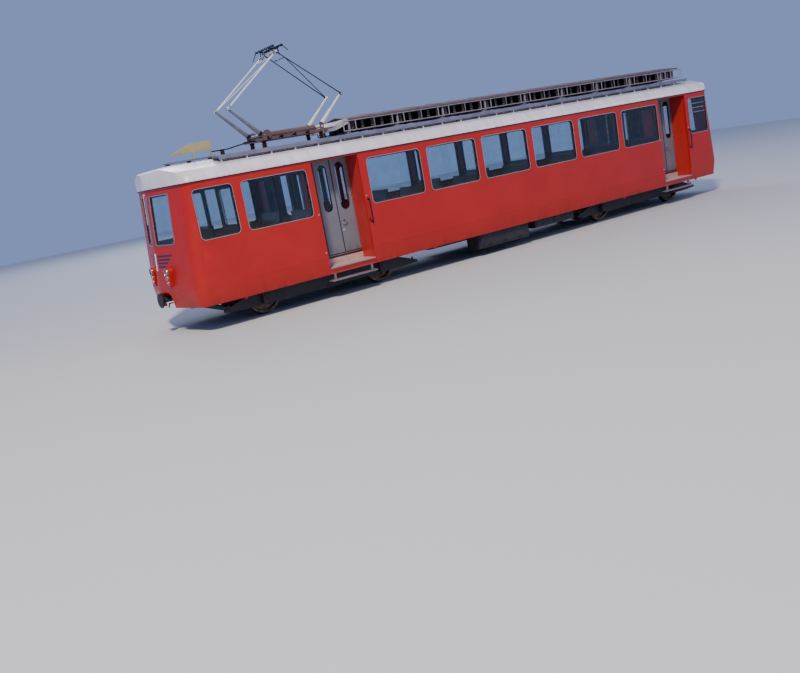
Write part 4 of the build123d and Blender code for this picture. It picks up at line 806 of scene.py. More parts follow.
def prow_x(y, z):
    """Where the outer skin of the mountain prow is, at one width and height."""
    return body_plan(z)[0] - abs(y) * tan(SWEEP)


def shear_to_prow(bm):
    """Move everything made in front view onto the prow."""
    for vert in bm.verts:
        vert.co.x += prow_x(vert.co.y, vert.co.z)


SCREEN_MID_Y, SCREEN_MID_Z = 0.435, 2.290
SCREEN_WIDTH, SCREEN_HEIGHT = 0.680, 0.960
# The windscreen frames' pale alloy is painted highlight on the prow's pillars
# columns: name, grown by, corner, rim, depth, x of the back, slot, finish
screen_rings = (
    ("windscreen_frames", 0.030, 0.055, 0.020, 0.011, -0.004, "grab_rail_steel", "lip_alloy"),
    ("windscreen_seals", -0.002, 0.044, 0.018, 0.012, -0.022, "floor_rubber", "sealing_rubber"))
for name, grown, corner, rim, depth, back_x, slot, finish in screen_rings:
    bm = bmesh.new()
    place = Matrix.Translation((back_x, SCREEN_MID_Y, SCREEN_MID_Z)) @ TO_PROW
    add_ring(bm, SCREEN_WIDTH + grown, SCREEN_HEIGHT + grown, corner, rim, depth, place)
    shear_to_prow(bm)
    end_piece(bm, name, slot, finish=finish, mirror="YX")

# %% [markdown]
# ## Stripes and ridge bar
# Four violet stripes run from each side of the ridge, the top one longest, with their outer ends cut
# slantwise. They are thin blocks rather than a painted pattern, so their edges stay crisp at any size. A
# white bar covers the ridge between them.

# %% Nose stripes and ridge bars
# columns: middle height, length
nose_stripes = ((1.590, 0.560), (1.520, 0.480), (1.450, 0.390), (1.380, 0.290))
STRIPE_HEIGHT, STRIPE_THICK = 0.034, 0.006
STRIPE_START = 0.060
STRIPE_SLANT = 0.040
bm = bmesh.new()
for z, length in nose_stripes:
    made = bmesh.ops.create_cube(bm, size=1)["verts"]
    bmesh.ops.scale(bm, vec=(STRIPE_THICK, length, STRIPE_HEIGHT), verts=made)
    bmesh.ops.translate(bm, vec=(0, STRIPE_START + length / 2, z), verts=made)
    for vert in made:
        if vert.co.y > STRIPE_START + length / 2 and vert.co.z < z:
            vert.co.y -= STRIPE_SLANT
shear_to_prow(bm)
end_piece(bm, "nose_stripes", "body_enamel", finish="stripe_violet", mirror="YX")

bm = bmesh.new()
add_block(bm, (-0.012, -0.017, 1.300), (0.016, 0.017, 1.650), bevel=0.005)
shear_to_prow(bm)
end_piece(bm, "ridge_bars", "lamp_chrome", finish="white_and_painted_glint", mirror="X")

# %% [markdown]
# ## Wipers
# Each end has one wiper, on its own right: a spindle above the screen, an arm and a blade. A mirror image
# would put the second one on the wrong hand, so a copy of the first is turned by half a circle.

# %% Wipers
WIPER_Y, WIPER_PIVOT_Z = -0.240, 2.822
BLADE_Y, BLADE_MID_Z = -0.330, 2.470
bm = bmesh.new()
add_rod(bm, (-0.010, WIPER_Y, WIPER_PIVOT_Z), (0.034, WIPER_Y, WIPER_PIVOT_Z), 0.018)
add_rod(bm, (0.030, WIPER_Y, WIPER_PIVOT_Z), (0.020, BLADE_Y, BLADE_MID_Z), 0.007)
add_block(bm, (0.010, BLADE_Y - 0.008, 2.220), (0.022, BLADE_Y + 0.008, 2.620), bevel=0.003)
shear_to_prow(bm)
other_end = bmesh.ops.duplicate(bm, geom=everything(bm))["geom"]
bmesh.ops.rotate(
    bm, cent=(0, 0, 0), matrix=Matrix.Rotation(pi, 3, "Z"),
    verts=[part for part in other_end if isinstance(part, bmesh.types.BMVert)])
end_piece(bm, "wipers", "grab_rail_steel", finish="white_and_painted_glint")

# %% [markdown]
# ## Headlamp details
# Each housing carries a large lamp over two small ones. A chrome bezel stands on each CAD rim: a round
# bar spun into a ring, which catches light on its inside and its outside as a flat ring wouldn't. A bulb
# cap sits behind the middle of the ribbed lens.

# %% Lamp bezels and caps
LAMP_Y, LAMP_FACE_X = 0.460, 8.275
RIM_FRONT_X = LAMP_FACE_X + 0.026
BEZEL_WIRE = 0.006
# columns: height, rim radius
lamps = ((1.275, 0.076), (1.157, 0.042), (1.063, 0.030))
bm = bmesh.new()
for z, radius in lamps:
    add_loop(
        bm, radius - 0.005, BEZEL_WIRE, Matrix.Translation((RIM_FRONT_X, LAMP_Y, z)) @ TO_PROW, steps=28)
    cap_back, cap_front = (LAMP_FACE_X + 0.012, LAMP_Y, z), (LAMP_FACE_X + 0.020, LAMP_Y, z)
    add_rod(bm, cap_back, cap_front, radius * 0.3, radius * 0.2, 16)
end_piece(bm, "lamp_bezels", "lamp_chrome", finish="worn_chrome", mirror="YX")

# %% [markdown]
# ## Gutter
# A rain gutter closes the joint between roof and wall all the way round. Its dark maroon is painted shade,
# the shadow under the roof's edge. A swept section would have to find the roof's curve again, so the
# gutter is the lowest band of the roof's own skin, cut out of a copy, pushed out a little and thickened.
# The inner faces of the roof are left out by the way they look.

# %% Bands of the roof's skin
BAND_LIFT, BAND_THICK = 0.003, 0.004
GUTTER_HIGH_Z = 2.914
# Bands longer than this run along the whole roof, so their ends face outwards too
WHOLE_ROOF = 1
WALL_SLOPE = 0.3


def outer_band(low_corner, high_corner):
    """A slice of the roof's outer skin between two corners of a box, pushed outwards and thickened."""
    band = bmesh.new()
    band.from_mesh(roof_skin.data)
    for corner, way in ((low_corner, -1), (high_corner, 1)):
        for axis in (0, 2):
            normal = Vector((0, 0, 0))
            normal[axis] = way
            bmesh.ops.bisect_plane(
                band, geom=everything(band), plane_co=corner, plane_no=normal, clear_outer=True)
    band.normal_update()
    inner = []
    for face in band.faces:
        centre = face.calc_center_median()
        along = centre.x if high_corner[0] - low_corner[0] > WHOLE_ROOF else 0
        looks_in = face.normal.dot(Vector((along, centre.y, centre.z - BODY_CREASE_Z))) < 0
        upright = abs(face.normal.z) < WALL_SLOPE
        if looks_in or upright and face.normal.xy.dot(Vector((along, centre.y))) < 0:
            inner.append(face)
    bmesh.ops.delete(band, geom=inner, context="FACES")
    band.normal_update()
    for vert in band.verts:
        vert.co += vert.normal * BAND_LIFT
    bmesh.ops.solidify(band, geom=band.faces[:], thickness=BAND_THICK)
    return band


gutters = outer_band((-9, 0, ROOF_LOW_Z - 0.001), (9, 0, GUTTER_HIGH_Z))
# The gutter's dark maroon is painted shade, the shadow under the roof's edge
end_piece(gutters, "gutter_shade_bands", "body_enamel", finish="maroon_and_gutter_shade")

# %% [markdown]
# ## Beads and small wall fittings
# Two fine beads run along the lower side where the skirt sheets overlap. Beside each doorway are pegs, a
# push button and the rosettes where the grab rail meets the wall; the pegs' white is painted highlight,
# small glints.
# They are blocks and studs that start just inside the wall's face, so that no gap shows.

# %% Beads, pegs, buttons and rosettes
ROOT_Y = -(BODY_HALF - 0.002)
DOORWAY_EDGES = [(x - DOORWAY_HALF, x + DOORWAY_HALF) for x in DOORWAY_CENTRES]
BEAD_END_X, BEAD_GAP, BEAD_HALF = 7.720, 0.002, 0.004
bead_ends = [-BEAD_END_X, *(x for edges in DOORWAY_EDGES for x in edges), BEAD_END_X]
bm = bmesh.new()
for i in (0, 2, 4):
    low_x = bead_ends[i] + (BEAD_GAP if i > 0 else 0)
    high_x = bead_ends[i + 1] - (BEAD_GAP if i < 4 else 0)
    for z in (0.905, 1.015):
        add_block(bm, (low_x, -1.4015, z - BEAD_HALF), (high_x, ROOT_Y, z + BEAD_HALF), bevel=0.001)
end_piece(bm, "skirt_beads", "body_enamel", mirror="Y")


def add_stud(bm, x, z, root_y, reach, radius, end_radius=None, segments=12):
    """A round stud that stands out from the near wall."""
    add_rod(bm, (x, root_y, z), (x, root_y - reach, z), radius, end_radius, segments)


BUTTON_Z = 1.480
pegs = bmesh.new()
buttons = bmesh.new()
rosettes = bmesh.new()
for low_x, high_x in DOORWAY_EDGES:
    for x, z in ((low_x - 0.045, 1.800), (high_x + 0.045, 1.985), (low_x - 0.045, 1.000)):
        add_stud(pegs, x, z, ROOT_Y, 0.016, 0.011, 0.008)
    add_stud(buttons, high_x + 0.030, BUTTON_Z, ROOT_Y, 0.012, 0.024, segments=20)
    add_stud(buttons, high_x + 0.030, BUTTON_Z, ROOT_Y - 0.010, 0.010, 0.013, segments=16)
    for z in (1.425, 1.905):
        add_stud(rosettes, high_x + 0.075, z, ROOT_Y, 0.010, 0.024, 0.020, 16)
# The pegs' white is painted highlight: small glints beside the doorways
end_piece(pegs, "door_glint_pegs", "grab_rail_steel", finish="white_and_painted_glint", mirror="Y")
end_piece(buttons, "door_buttons", "grab_rail_steel", finish="maroon_and_gutter_shade", mirror="Y")
end_piece(rosettes, "rail_rosettes", "grab_rail_steel", mirror="Y")

# %% [markdown]
# ## The entries
# Each recess has a trodden plate with ribs, a bright nosing along its outer edge, a threshold strip
# under the leaves, a thin bright moulding up the mountain side of the door frame, and rubber over the
# leaves and up the fixed post. All are straight rolled sections, so bevelled blocks give them.

# %% Nosings, ribs and mouldings
TREAD_RIBS, TREAD_RIB_Y, TREAD_RIB_PITCH = 9, -1.350, 0.045
THRESHOLD_Z, LEAF_TOP_Z = 0.852, 2.866
FRAME_FRONT_Y, FRAME_BACK_Y = -0.9085, -0.880
EDGE_GAP = 0.004
POST_WIDTH = 0.278
nosings = bmesh.new()
ribs = bmesh.new()
rubbers = bmesh.new()
for low_x, high_x in DOORWAY_EDGES:
    inner_low_x, inner_high_x = low_x + EDGE_GAP, high_x - EDGE_GAP
    add_block(nosings, (inner_low_x, -1.4035, 0.652), (inner_high_x, -1.372, 0.6685), bevel=0.003)
    add_block(
        nosings, (low_x + POST_WIDTH + 0.012, FRAME_FRONT_Y + 0.001, THRESHOLD_Z - 0.0005),
        (inner_high_x, FRAME_BACK_Y, THRESHOLD_Z + 0.0025), bevel=0.001)
    add_block(
        nosings, (high_x - 0.014, FRAME_FRONT_Y, THRESHOLD_Z + 0.004), (high_x - 0.001, -0.896, LEAF_TOP_Z),
        bevel=0.002)
    for i in range(TREAD_RIBS):
        y = TREAD_RIB_Y + TREAD_RIB_PITCH * i
        add_block(ribs, (low_x + 0.030, y - 0.008, 0.6645), (high_x - 0.030, y + 0.008, 0.6675), bevel=0.001)
    add_block(
        rubbers, (inner_low_x, FRAME_FRONT_Y + 0.0015, LEAF_TOP_Z),
        (inner_high_x, FRAME_BACK_Y, LEAF_TOP_Z + 0.0035), bevel=0.001)
    add_block(
        rubbers, (low_x + POST_WIDTH - 0.010, FRAME_FRONT_Y, THRESHOLD_Z),
        (low_x + POST_WIDTH, -0.900, LEAF_TOP_Z + 0.002), bevel=0.001)
end_piece(nosings, "entry_nosings", "grab_rail_steel", finish="lip_alloy", mirror="Y")
end_piece(ribs, "tread_ribs", "entry_enamel", mirror="Y")
end_piece(rubbers, "door_frame_rubbers", "floor_rubber", finish="sealing_rubber", mirror="Y")

# %% [markdown]
# ## Door leaves
# Each leaf swings by itself, so its glass, rubber and fittings ride on the leaf's own body. One mirrored
# piece for all leaves could follow only one of them, so a set is made for each of the eight leaves, from
# the leaf's own box. Only the right leaf of a pair has the handle, the lock and a plate above them.

# %% Glass, rubber and fittings of one leaf
LEAF_WINDOW_MID, LEAF_WINDOW_HEIGHT, LEAF_WINDOW_WIDTH = 2.280, 1.020, 0.225
LEAF_CORNER = 0.112
LEAF_MID_Y = DOOR_FACE_Y - 0.018
STRIP_THICK, STRIP_SINK = 0.003, 0.001
HANDLE_Z, LOCK_Z, LOCK_INSET = 1.520, 1.345, 0.055


def add_leaf_rubber(bm, low, high, middle, face_y, way):
    """Rubber round both faces of the pane, up both edges of the leaf and along its foot."""
    for lift in (0.0035, -0.0205):
        place = middle @ Matrix.Translation((0, 0, lift))
        add_ring(bm, LEAF_WINDOW_WIDTH, LEAF_WINDOW_HEIGHT, LEAF_CORNER, 0.014, 0.017, place)
    edge_y = sorted((face_y, face_y + way * STRIP_THICK))
    for edge_x in (low.x + 0.0005, high.x - 0.0055):
        add_block(bm, (edge_x, edge_y[0], 0.870), (edge_x + 0.005, edge_y[1], 2.850))
    foot_y = sorted((face_y - way * STRIP_SINK, face_y + way * STRIP_THICK))
    add_block(bm, (low.x + 0.006, foot_y[0], 0.858), (high.x - 0.006, foot_y[1], 0.874))


def add_lock(bm, low, high, face_y, way, turn):
    """Two rosettes, a ring handle on a stem, a lock cylinder and a small plate."""
    lock_x = low.x + LOCK_INSET
    # columns: height, start and end in front of the face, radius, segments
    turned = (
        (HANDLE_Z, -0.001, 0.006, 0.030, 20), (LOCK_Z, -0.001, 0.006, 0.026, 20),
        (HANDLE_Z, 0, 0.024, 0.014, 12), (LOCK_Z, 0, 0.018, 0.010, 12))
    for z, start, stop, radius, segments in turned:
        start_y, stop_y = face_y + way * start, face_y + way * stop
        add_rod(bm, (lock_x, start_y, z), (lock_x, stop_y, z), radius, segments=segments)
    add_loop(bm, 0.055, 0.010, Matrix.Translation((lock_x + 0.045, face_y + way * 0.022, HANDLE_Z)) @ turn)
    plate_y = sorted((face_y - way * STRIP_SINK, face_y + way * STRIP_THICK))
    add_block(bm, (high.x - 0.095, plate_y[0], 1.930), (high.x - 0.070, plate_y[1], 2.080), bevel=0.001)


def dress_leaf(end, side, leaf):
    """Glass, rubber and fittings for one leaf, on its own body."""
    door = f"door_{end}_{side}_{leaf}"
    low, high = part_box(door)
    way, turn = (-1, TO_NEAR_SIDE) if side == "near" else (1, TO_FAR_SIDE)
    face_y = way * DOOR_FACE_Y
    middle = Matrix.Translation(((low.x + high.x) / 2, way * LEAF_MID_Y, LEAF_WINDOW_MID)) @ turn
    bm = bmesh.new()
    add_pane(
        bm, LEAF_WINDOW_WIDTH - 0.001, LEAF_WINDOW_HEIGHT - 0.001, LEAF_CORNER - 0.001, 0.006,
        middle @ Matrix.Translation((0, 0, -0.003)))
    end_piece(bm, f"leaf_glass_{end}_{side}_{leaf}", "window_glass", body=door)
    bm = bmesh.new()
    add_leaf_rubber(bm, low, high, middle, face_y, way)
    end_piece(bm, f"leaf_rubber_{end}_{side}_{leaf}", "floor_rubber", body=door, finish="sealing_rubber")
    bm = bmesh.new()
    add_ring(
        bm, LEAF_WINDOW_WIDTH + 0.004, LEAF_WINDOW_HEIGHT + 0.004, LEAF_CORNER + 0.002, 0.005, 0.003,
        middle @ Matrix.Translation((0, 0, 0.0195)))
    if leaf == "right":
        add_lock(bm, low, high, face_y, way, turn)
    end_piece(bm, f"leaf_fittings_{end}_{side}_{leaf}", "grab_rail_steel", body=door, finish="worn_chrome")


# %% [markdown]
# ## All eight leaves
# Two ends, two sides and two leaves in each doorway: three loops in one another name all eight bodies.

# %% All eight leaves
for end in ("valley", "mountain"):
    for side in ("near", "far"):
        for leaf in ("left", "right"):
            dress_leaf(end, side, leaf)

# %% [markdown]
# ## Saloon details
# What shows through the glass: a ceiling lining with round lamps, light poles at the entries and behind
# the cab, and guard bars across the luggage space at the mountain end. They are plain blocks and rods,
# since only their lines show behind the glass.

# %% Ceiling, lamps and poles
SALOON_FLOOR_Z, CEILING_Z = 1.000, 2.894
bm = bmesh.new()
add_block(bm, (-7.55, -1.335, CEILING_Z), (7.55, 1.335, CEILING_Z + 0.014))
end_piece(bm, "ceiling_lining", "interior_laminate")

CEILING_LAMPS, LAMP_FIRST_X, LAMP_PITCH = 10, -7.10, 1.57
bm = bmesh.new()
for i in range(CEILING_LAMPS):
    x = LAMP_FIRST_X + LAMP_PITCH * i
    add_rod(bm, (x, 0, CEILING_Z), (x, 0, CEILING_Z - 0.038), 0.110, 0.070, 24)
end_piece(bm, "ceiling_lamps", "lamp_glass")

CROSS_BAR_Z = 1.860
# columns: x, y, whether a bar runs from the pole to the wall
poles = ((-6.790, -0.420, True), (-3.900, -0.360, False), (5.600, -0.360, False), (6.960, -0.420, True))
bm = bmesh.new()
for x, y, has_bar in poles:
    add_rod(bm, (x, y, SALOON_FLOOR_Z), (x, y, CEILING_Z), 0.016)
    add_rod(bm, (x, y, SALOON_FLOOR_Z), (x, y, SALOON_FLOOR_Z + 0.020), 0.035, segments=16)
    add_rod(bm, (x, y, CEILING_Z - 0.020), (x, y, CEILING_Z), 0.035, segments=16)
    if has_bar:
        add_rod(bm, (x, y, CROSS_BAR_Z), (x, -1.320, CROSS_BAR_Z), 0.014)
end_piece(bm, "entry_poles", "grab_rail_steel", finish="lip_alloy", mirror="Y")

bm = bmesh.new()
for z in (2.360, 2.480, 2.600):
    add_rod(bm, (6.985, -1.350, z), (7.780, -1.350, z), 0.012)
end_piece(bm, "guard_bars", "grab_rail_steel", finish="lip_alloy", mirror="Y")

# %% [markdown]
# ## Bench slats
# The benches are rows of wooden slats on a shaped seat. The CAD has the seat, and a bump could draw the
# slats on it, but their edges catch the light from the windows, so each slat is a thin block. The hollow
# of the seat is part of a parabola, and a slat lies at its height there.

# %% Bench slats
SEAT_TOP_Z = SALOON_FLOOR_Z + 0.430
SEAT_MID, SEAT_HALF, SEAT_HOLLOW = 0.306, 0.194, 0.018
SLATS, SLAT_FIRST, SLAT_PITCH, SLAT_HALF = 7, 0.145, 0.055, 0.021
pillar_xs = [SALOON_WINDOW_X + SALOON_WINDOW_PITCH * (i + 0.5) for i in range(SALOON_WINDOWS - 1)]
# columns: x of the back, the way that the seat faces
benches = [(x, facing) for x in pillar_xs for facing in (-1, 1)]
benches += [(-6.831, 1), (-5.2065, -1), (-3.9315, 1), (5.6525, -1)]
bm = bmesh.new()
for x, facing in benches:
    # columns: low y, high y of the two seats of a row, clear of their ends
    for low_y, high_y in ((-1.310, -0.315), (0.315, 1.310)):
        for i in range(SLATS):
            u = SLAT_FIRST + SLAT_PITCH * i
            hollow = max(SEAT_HOLLOW * (1 - ((u - SEAT_MID) / SEAT_HALF) ** 2), 0)
            low_x, high_x = sorted((x + facing * (u - SLAT_HALF), x + facing * (u + SLAT_HALF)))
            z = SEAT_TOP_Z - hollow
            add_block(bm, (low_x, low_y, z - 0.001), (high_x, high_y, z + 0.008), bevel=0.002)
end_piece(bm, "bench_slats", "bench_wood")

# %% [markdown]
# ## Roof seams
# Cross seams show where the roof sheets overlap. Each is a slice of the roof's own outer skin, as the
# gutter is, so it follows the arch exactly. The slices are gathered in one bmesh through a scratch mesh.

# %% Roof seams
SEAMS, SEAM_FIRST_X, SEAM_PITCH = 10, -6.950, 1.545
SEAM_HALF = 0.014
seams = bmesh.new()
for i in range(SEAMS):
    x = SEAM_FIRST_X + SEAM_PITCH * i
    band = outer_band((x - SEAM_HALF, 0, GUTTER_HIGH_Z), (x + SEAM_HALF, 0, ROOF_HIGH_Z + 0.01))
    mesh = bpy.data.meshes.new("seam_band")
    band.to_mesh(mesh)
    band.free()
    seams.from_mesh(mesh)
    bpy.data.meshes.remove(mesh)
end_piece(seams, "roof_seams", "roof_aluminium")

# %% [markdown]
# ## Walkways
# The roof walks have folded edge channels that make them look deep from below, and end in a short plate
# over the roof's mountain nose. White feet carry them at every cross bar. An array modifier could repeat
# a foot, but a loop with a named pitch keeps all of them in one mesh at the origin.

# %% Walk channels and feet
WALK_LOW_X, WALK_HIGH_X = -6.910, 7.085
WALK_OUTER_Y, WALK_INNER_Y = -1.000, -0.700
CHANNEL_THICK = 0.012
CHANNEL_LOW_Z, WALK_TOP_Z = 3.236, 3.322
PLATE_END_X = WALK_HIGH_X + 0.48
WALK_FEET, WALK_FOOT_X, WALK_FOOT_PITCH = 26, -6.850, 0.555
FOOT_Y = -0.985
bm = bmesh.new()
for y in (WALK_OUTER_Y - CHANNEL_THICK, WALK_INNER_Y):
    add_block(
        bm, (WALK_LOW_X, y, CHANNEL_LOW_Z), (WALK_HIGH_X, y + CHANNEL_THICK, WALK_TOP_Z), bevel=0.002)
add_block(bm, (WALK_HIGH_X, WALK_OUTER_Y, 3.290), (PLATE_END_X, WALK_INNER_Y, 3.318), bevel=0.003)
add_block(
    bm, (WALK_HIGH_X, WALK_OUTER_Y - CHANNEL_THICK, 3.250), (PLATE_END_X, WALK_OUTER_Y, WALK_TOP_Z),
    bevel=0.003)
end_piece(bm, "walk_channels", "walkway_paint", mirror="Y")

bm = bmesh.new()
for i in range(WALK_FEET):
    x = WALK_FOOT_X + WALK_FOOT_PITCH * i
    add_block(bm, (x - 0.014, FOOT_Y, 3.165), (x + 0.014, FOOT_Y + 0.025, 3.240), bevel=0.003)
plate_foot_x = PLATE_END_X - 0.060
add_block(
    bm, (plate_foot_x - 0.020, FOOT_Y, 3.150), (plate_foot_x + 0.020, FOOT_Y + 0.030, 3.256), bevel=0.004)
end_piece(bm, "walk_feet", "walkway_paint", finish="white_and_painted_glint", mirror="Y")

# %% [markdown]
# ## Loops round the resistor bank
# The bank gets light loop frames round every portal and rails between them. They are bent from round
# bar, so each is a few rods. The last bay lies past the last CAD portal: its rails end in a loop across
# the roof, on two legs of its own.

# %% Loop frames
BANK_FIRST_X, BANK_PITCH, BANK_BAYS = -3.550, 1.320, 8
BANK_END_X = BANK_FIRST_X + BANK_BAYS * BANK_PITCH
LOOP_Y, PORTAL_Y, BAR_Y = -0.600, -0.545, -0.480
RAIL_LOW_Z, RAIL_HIGH_Z, BAR_Z = 3.400, 3.612, 3.660
RAIL_R, TIE_R = 0.013, 0.010
LEG_FOOT_Z = 3.215
LEG_X, LOOP_END_X = BANK_END_X + 0.40, BANK_END_X + 0.84
bm = bmesh.new()
for z in (RAIL_LOW_Z, RAIL_HIGH_Z):
    add_rod(bm, (BANK_FIRST_X - 0.16, LOOP_Y, z), (LOOP_END_X, LOOP_Y, z), RAIL_R, segments=8)
for i in range(BANK_BAYS + 1):
    x = BANK_FIRST_X + BANK_PITCH * i
    for offset in (-0.160, 0.160):
        add_rod(bm, (x + offset, LOOP_Y, RAIL_LOW_Z), (x + offset, LOOP_Y, RAIL_HIGH_Z), RAIL_R, segments=8)
    add_rod(bm, (x, LOOP_Y, RAIL_LOW_Z), (x, PORTAL_Y, RAIL_LOW_Z), TIE_R, segments=8)
    add_rod(bm, (x, LOOP_Y, RAIL_HIGH_Z), (x, PORTAL_Y, RAIL_HIGH_Z + 0.028), TIE_R, segments=8)
    if i < BANK_BAYS:
        mid = x + BANK_PITCH / 2
        add_rod(bm, (mid, LOOP_Y, RAIL_LOW_Z), (mid, LOOP_Y, RAIL_HIGH_Z), 0.009, segments=8)
for x in (LEG_X, LOOP_END_X):
    add_rod(bm, (x, LOOP_Y, RAIL_LOW_Z), (x, LOOP_Y, RAIL_HIGH_Z), RAIL_R, segments=8)
    add_rod(bm, (x, LOOP_Y, RAIL_HIGH_Z), (x, BAR_Y, BAR_Z), RAIL_R, segments=8)
add_rod(bm, (LEG_X, LOOP_Y, RAIL_LOW_Z), (LEG_X, LOOP_Y, LEG_FOOT_Z), RAIL_R, segments=8)
add_rod(bm, (BANK_END_X, BAR_Y, BAR_Z), (LOOP_END_X, BAR_Y, BAR_Z), RAIL_R, segments=8)
mirror_piece(bm, "Y")
for x in (LEG_X, LOOP_END_X):
    add_rod(bm, (x, LOOP_Y, RAIL_LOW_Z), (x, -LOOP_Y, RAIL_LOW_Z), RAIL_R, segments=8)
    add_rod(bm, (x, BAR_Y, BAR_Z), (x, -BAR_Y, BAR_Z), RAIL_R, segments=8)
end_piece(bm, "resistor_loops", "resistor_steel", finish="frame_grey")

# %% [markdown]
# ## Guards, hoops and the last bay
# A brown guard hangs under the cover's eaves, hoops stiffen the cover, and the cover and its grids run on
# into the last bay. Slabs on the cover are made flat and each point is lifted to the slope, which is
# simpler than turning them.

# %% Guards, hoops and the last bay
LAST_BAY_X = BANK_END_X + 0.690
COVER_RIDGE_Z, COVER_EAVE_Z, COVER_HALF = 3.735, 3.668, 0.610


def add_cover_slab(bm, low_x, high_x, half_y, thick, sink):
    """A flat slab from eave to ridge, lifted to the cover's slope and sunk a little into it."""
    made = bmesh.ops.create_cube(bm, size=1)["verts"]
    bmesh.ops.scale(bm, vec=(high_x - low_x, half_y, thick), verts=made)
    bmesh.ops.translate(bm, vec=((low_x + high_x) / 2, -half_y / 2, thick / 2), verts=made)
    for vert in made:
        fall = (COVER_RIDGE_Z - COVER_EAVE_Z) * abs(vert.co.y) / COVER_HALF
        vert.co.z += COVER_RIDGE_Z - fall - sink


bm = bmesh.new()
add_block(bm, (BANK_FIRST_X - 0.018, -0.616, 3.632), (LAST_BAY_X, -0.608, 3.674), bevel=0.001)
add_cover_slab(bm, BANK_END_X + 0.020, LAST_BAY_X, COVER_HALF, 0.006, 0.006)
for i in range(2 * BANK_BAYS + 1):
    x = BANK_FIRST_X + BANK_PITCH * i / 2
    add_cover_slab(bm, x - 0.012, x + 0.012, COVER_HALF - 0.004, 0.008, 0.001)
for x in (BANK_END_X + 0.10, BANK_END_X + 0.33, BANK_END_X + 0.56):
    for low_y, high_y in ((-0.510, -0.370), (-0.340, -0.200), (-0.170, -0.030)):
        add_block(bm, (x, low_y, 3.395), (x + 0.07, high_y, 3.605), bevel=0.004)
end_piece(bm, "resistor_guards", "resistor_steel", finish="guard_brown", mirror="Y")

# %% [markdown]
# ## Ramp box and resistor ribbons
# A light box closes the space under the ramp, sheared so that it runs parallel to it. Bent ribbons stand
# proud of each grid plate. They come by the hundred, so each is one small block.

# %% Ramp box and resistor ribbons
RAMP_LOW_X, RAMP_HIGH_X, RAMP_RISE = -3.928, -3.568, 0.110
bm = bmesh.new()
add_block(bm, (RAMP_LOW_X + 0.015, -0.604, 3.450), (RAMP_HIGH_X - 0.010, 0.604, 3.545))
for vert in bm.verts:
    vert.co.z += (vert.co.x - RAMP_LOW_X) * RAMP_RISE / (RAMP_HIGH_X - RAMP_LOW_X)
end_piece(bm, "ramp_box", "resistor_steel", finish="ramp_grey")

GRIDS, GRID_PITCH = 5, (1.284 - 0.220) / 4
RIBBONS, RIBBON_PITCH = 5, 0.040
bm = bmesh.new()
for i in range(BANK_BAYS):
    for j in range(GRIDS):
        x = BANK_FIRST_X + BANK_PITCH * (i + 0.5) + GRID_PITCH * (j - 2)
        for k in range(RIBBONS):
            z = RAIL_LOW_Z + RIBBON_PITCH * k
            add_block(bm, (x - 0.036, -0.511, z), (x + 0.036, -0.504, z + 0.020), bevel=0.002)
end_piece(bm, "resistor_ribbons", "resistor_steel", finish="guard_brown", mirror="Y")

# %% [markdown]
# ## Pantograph base
# Two spring drums lie along the base between the torque shafts, with bands round them and two cross bars
# below. A disc stands on each side by the valley shaft, and a row of rollers stands out from both beams.
# Nearly all of them are turned parts, so short rods of different radii give them.

# %% Spring drums and rollers
PANTO_X, PIVOT_Z, PIVOT_OFFSET = -4.830, 3.600, 0.700
DRUM_Y, DRUM_Z, DRUM_R = 0.165, 3.595, 0.066
DRUM_HALF = PIVOT_OFFSET - 0.060
DISC_Y, DISC_THICK, HUB_THICK = 0.338, 0.018, 0.016
ROLLERS, ROLLER_FIRST, ROLLER_PITCH = 4, -0.62, 0.32
ROLLER_Y, ROLLER_Z, ROLLER_REACH = -0.345, 3.520, 0.050
bm = bmesh.new()
for y in (-DRUM_Y, DRUM_Y):
    low_x, high_x = PANTO_X - DRUM_HALF, PANTO_X + DRUM_HALF
    add_rod(bm, (low_x, y, DRUM_Z), (high_x, y, DRUM_Z), DRUM_R, segments=28)
    for x in (low_x + 0.04, PANTO_X, high_x - 0.04):
        add_rod(bm, (x - 0.012, y, DRUM_Z), (x + 0.012, y, DRUM_Z), DRUM_R + 0.005, segments=28)
for x in (PANTO_X - 0.45, PANTO_X + 0.45):
    add_block(bm, (x - 0.025, -0.270, 3.505), (x + 0.025, 0.270, 3.535), bevel=0.004)
disc_x = PANTO_X - PIVOT_OFFSET + 0.085
hub_y = DISC_Y + DISC_THICK
for way in (-1, 1):
    add_rod(bm, (disc_x, way * DISC_Y, PIVOT_Z), (disc_x, way * hub_y, PIVOT_Z), 0.105, segments=32)
    add_rod(
        bm, (disc_x, way * hub_y, PIVOT_Z), (disc_x, way * (hub_y + HUB_THICK), PIVOT_Z), 0.034, segments=20)
end_piece(bm, "spring_drums", "pantograph_primer")

bm = bmesh.new()
for i in range(ROLLERS):
    x = PANTO_X + ROLLER_FIRST + ROLLER_PITCH * i
    add_stud(bm, x, ROLLER_Z, ROLLER_Y, ROLLER_REACH, 0.036, segments=20)
    add_stud(bm, x, ROLLER_Z, ROLLER_Y - ROLLER_REACH, 0.015, 0.018)
end_piece(bm, "base_rollers", "pantograph_steel", mirror="Y")

# %% [markdown]
# ## Pantograph arms
# The lower arms taper: thick sleeves start at the base and thin towards the knee, with a dark collar at
# the pivot. The upper arms have collars near the knee and the head. A cone from point to point gives both,
# and each piece rides on its own arm frame. The mountain arms fold down over the bank's cover, so only
# their lower half gets a sleeve, and the collars stay clear of the knees and the pivots.

# %% Sleeves and collars
KNEE_OFFSET, KNEE_Z, HEAD_Z = 1.365, 4.230, 5.270
ARM_Y, UPPER_Y, CUP_Y = 0.300, 0.346, 0.262
SLEEVE_START, KNEE_CLEARANCE, MOUNTAIN_SLEEVE_END = 0.040, 0.060, 0.500


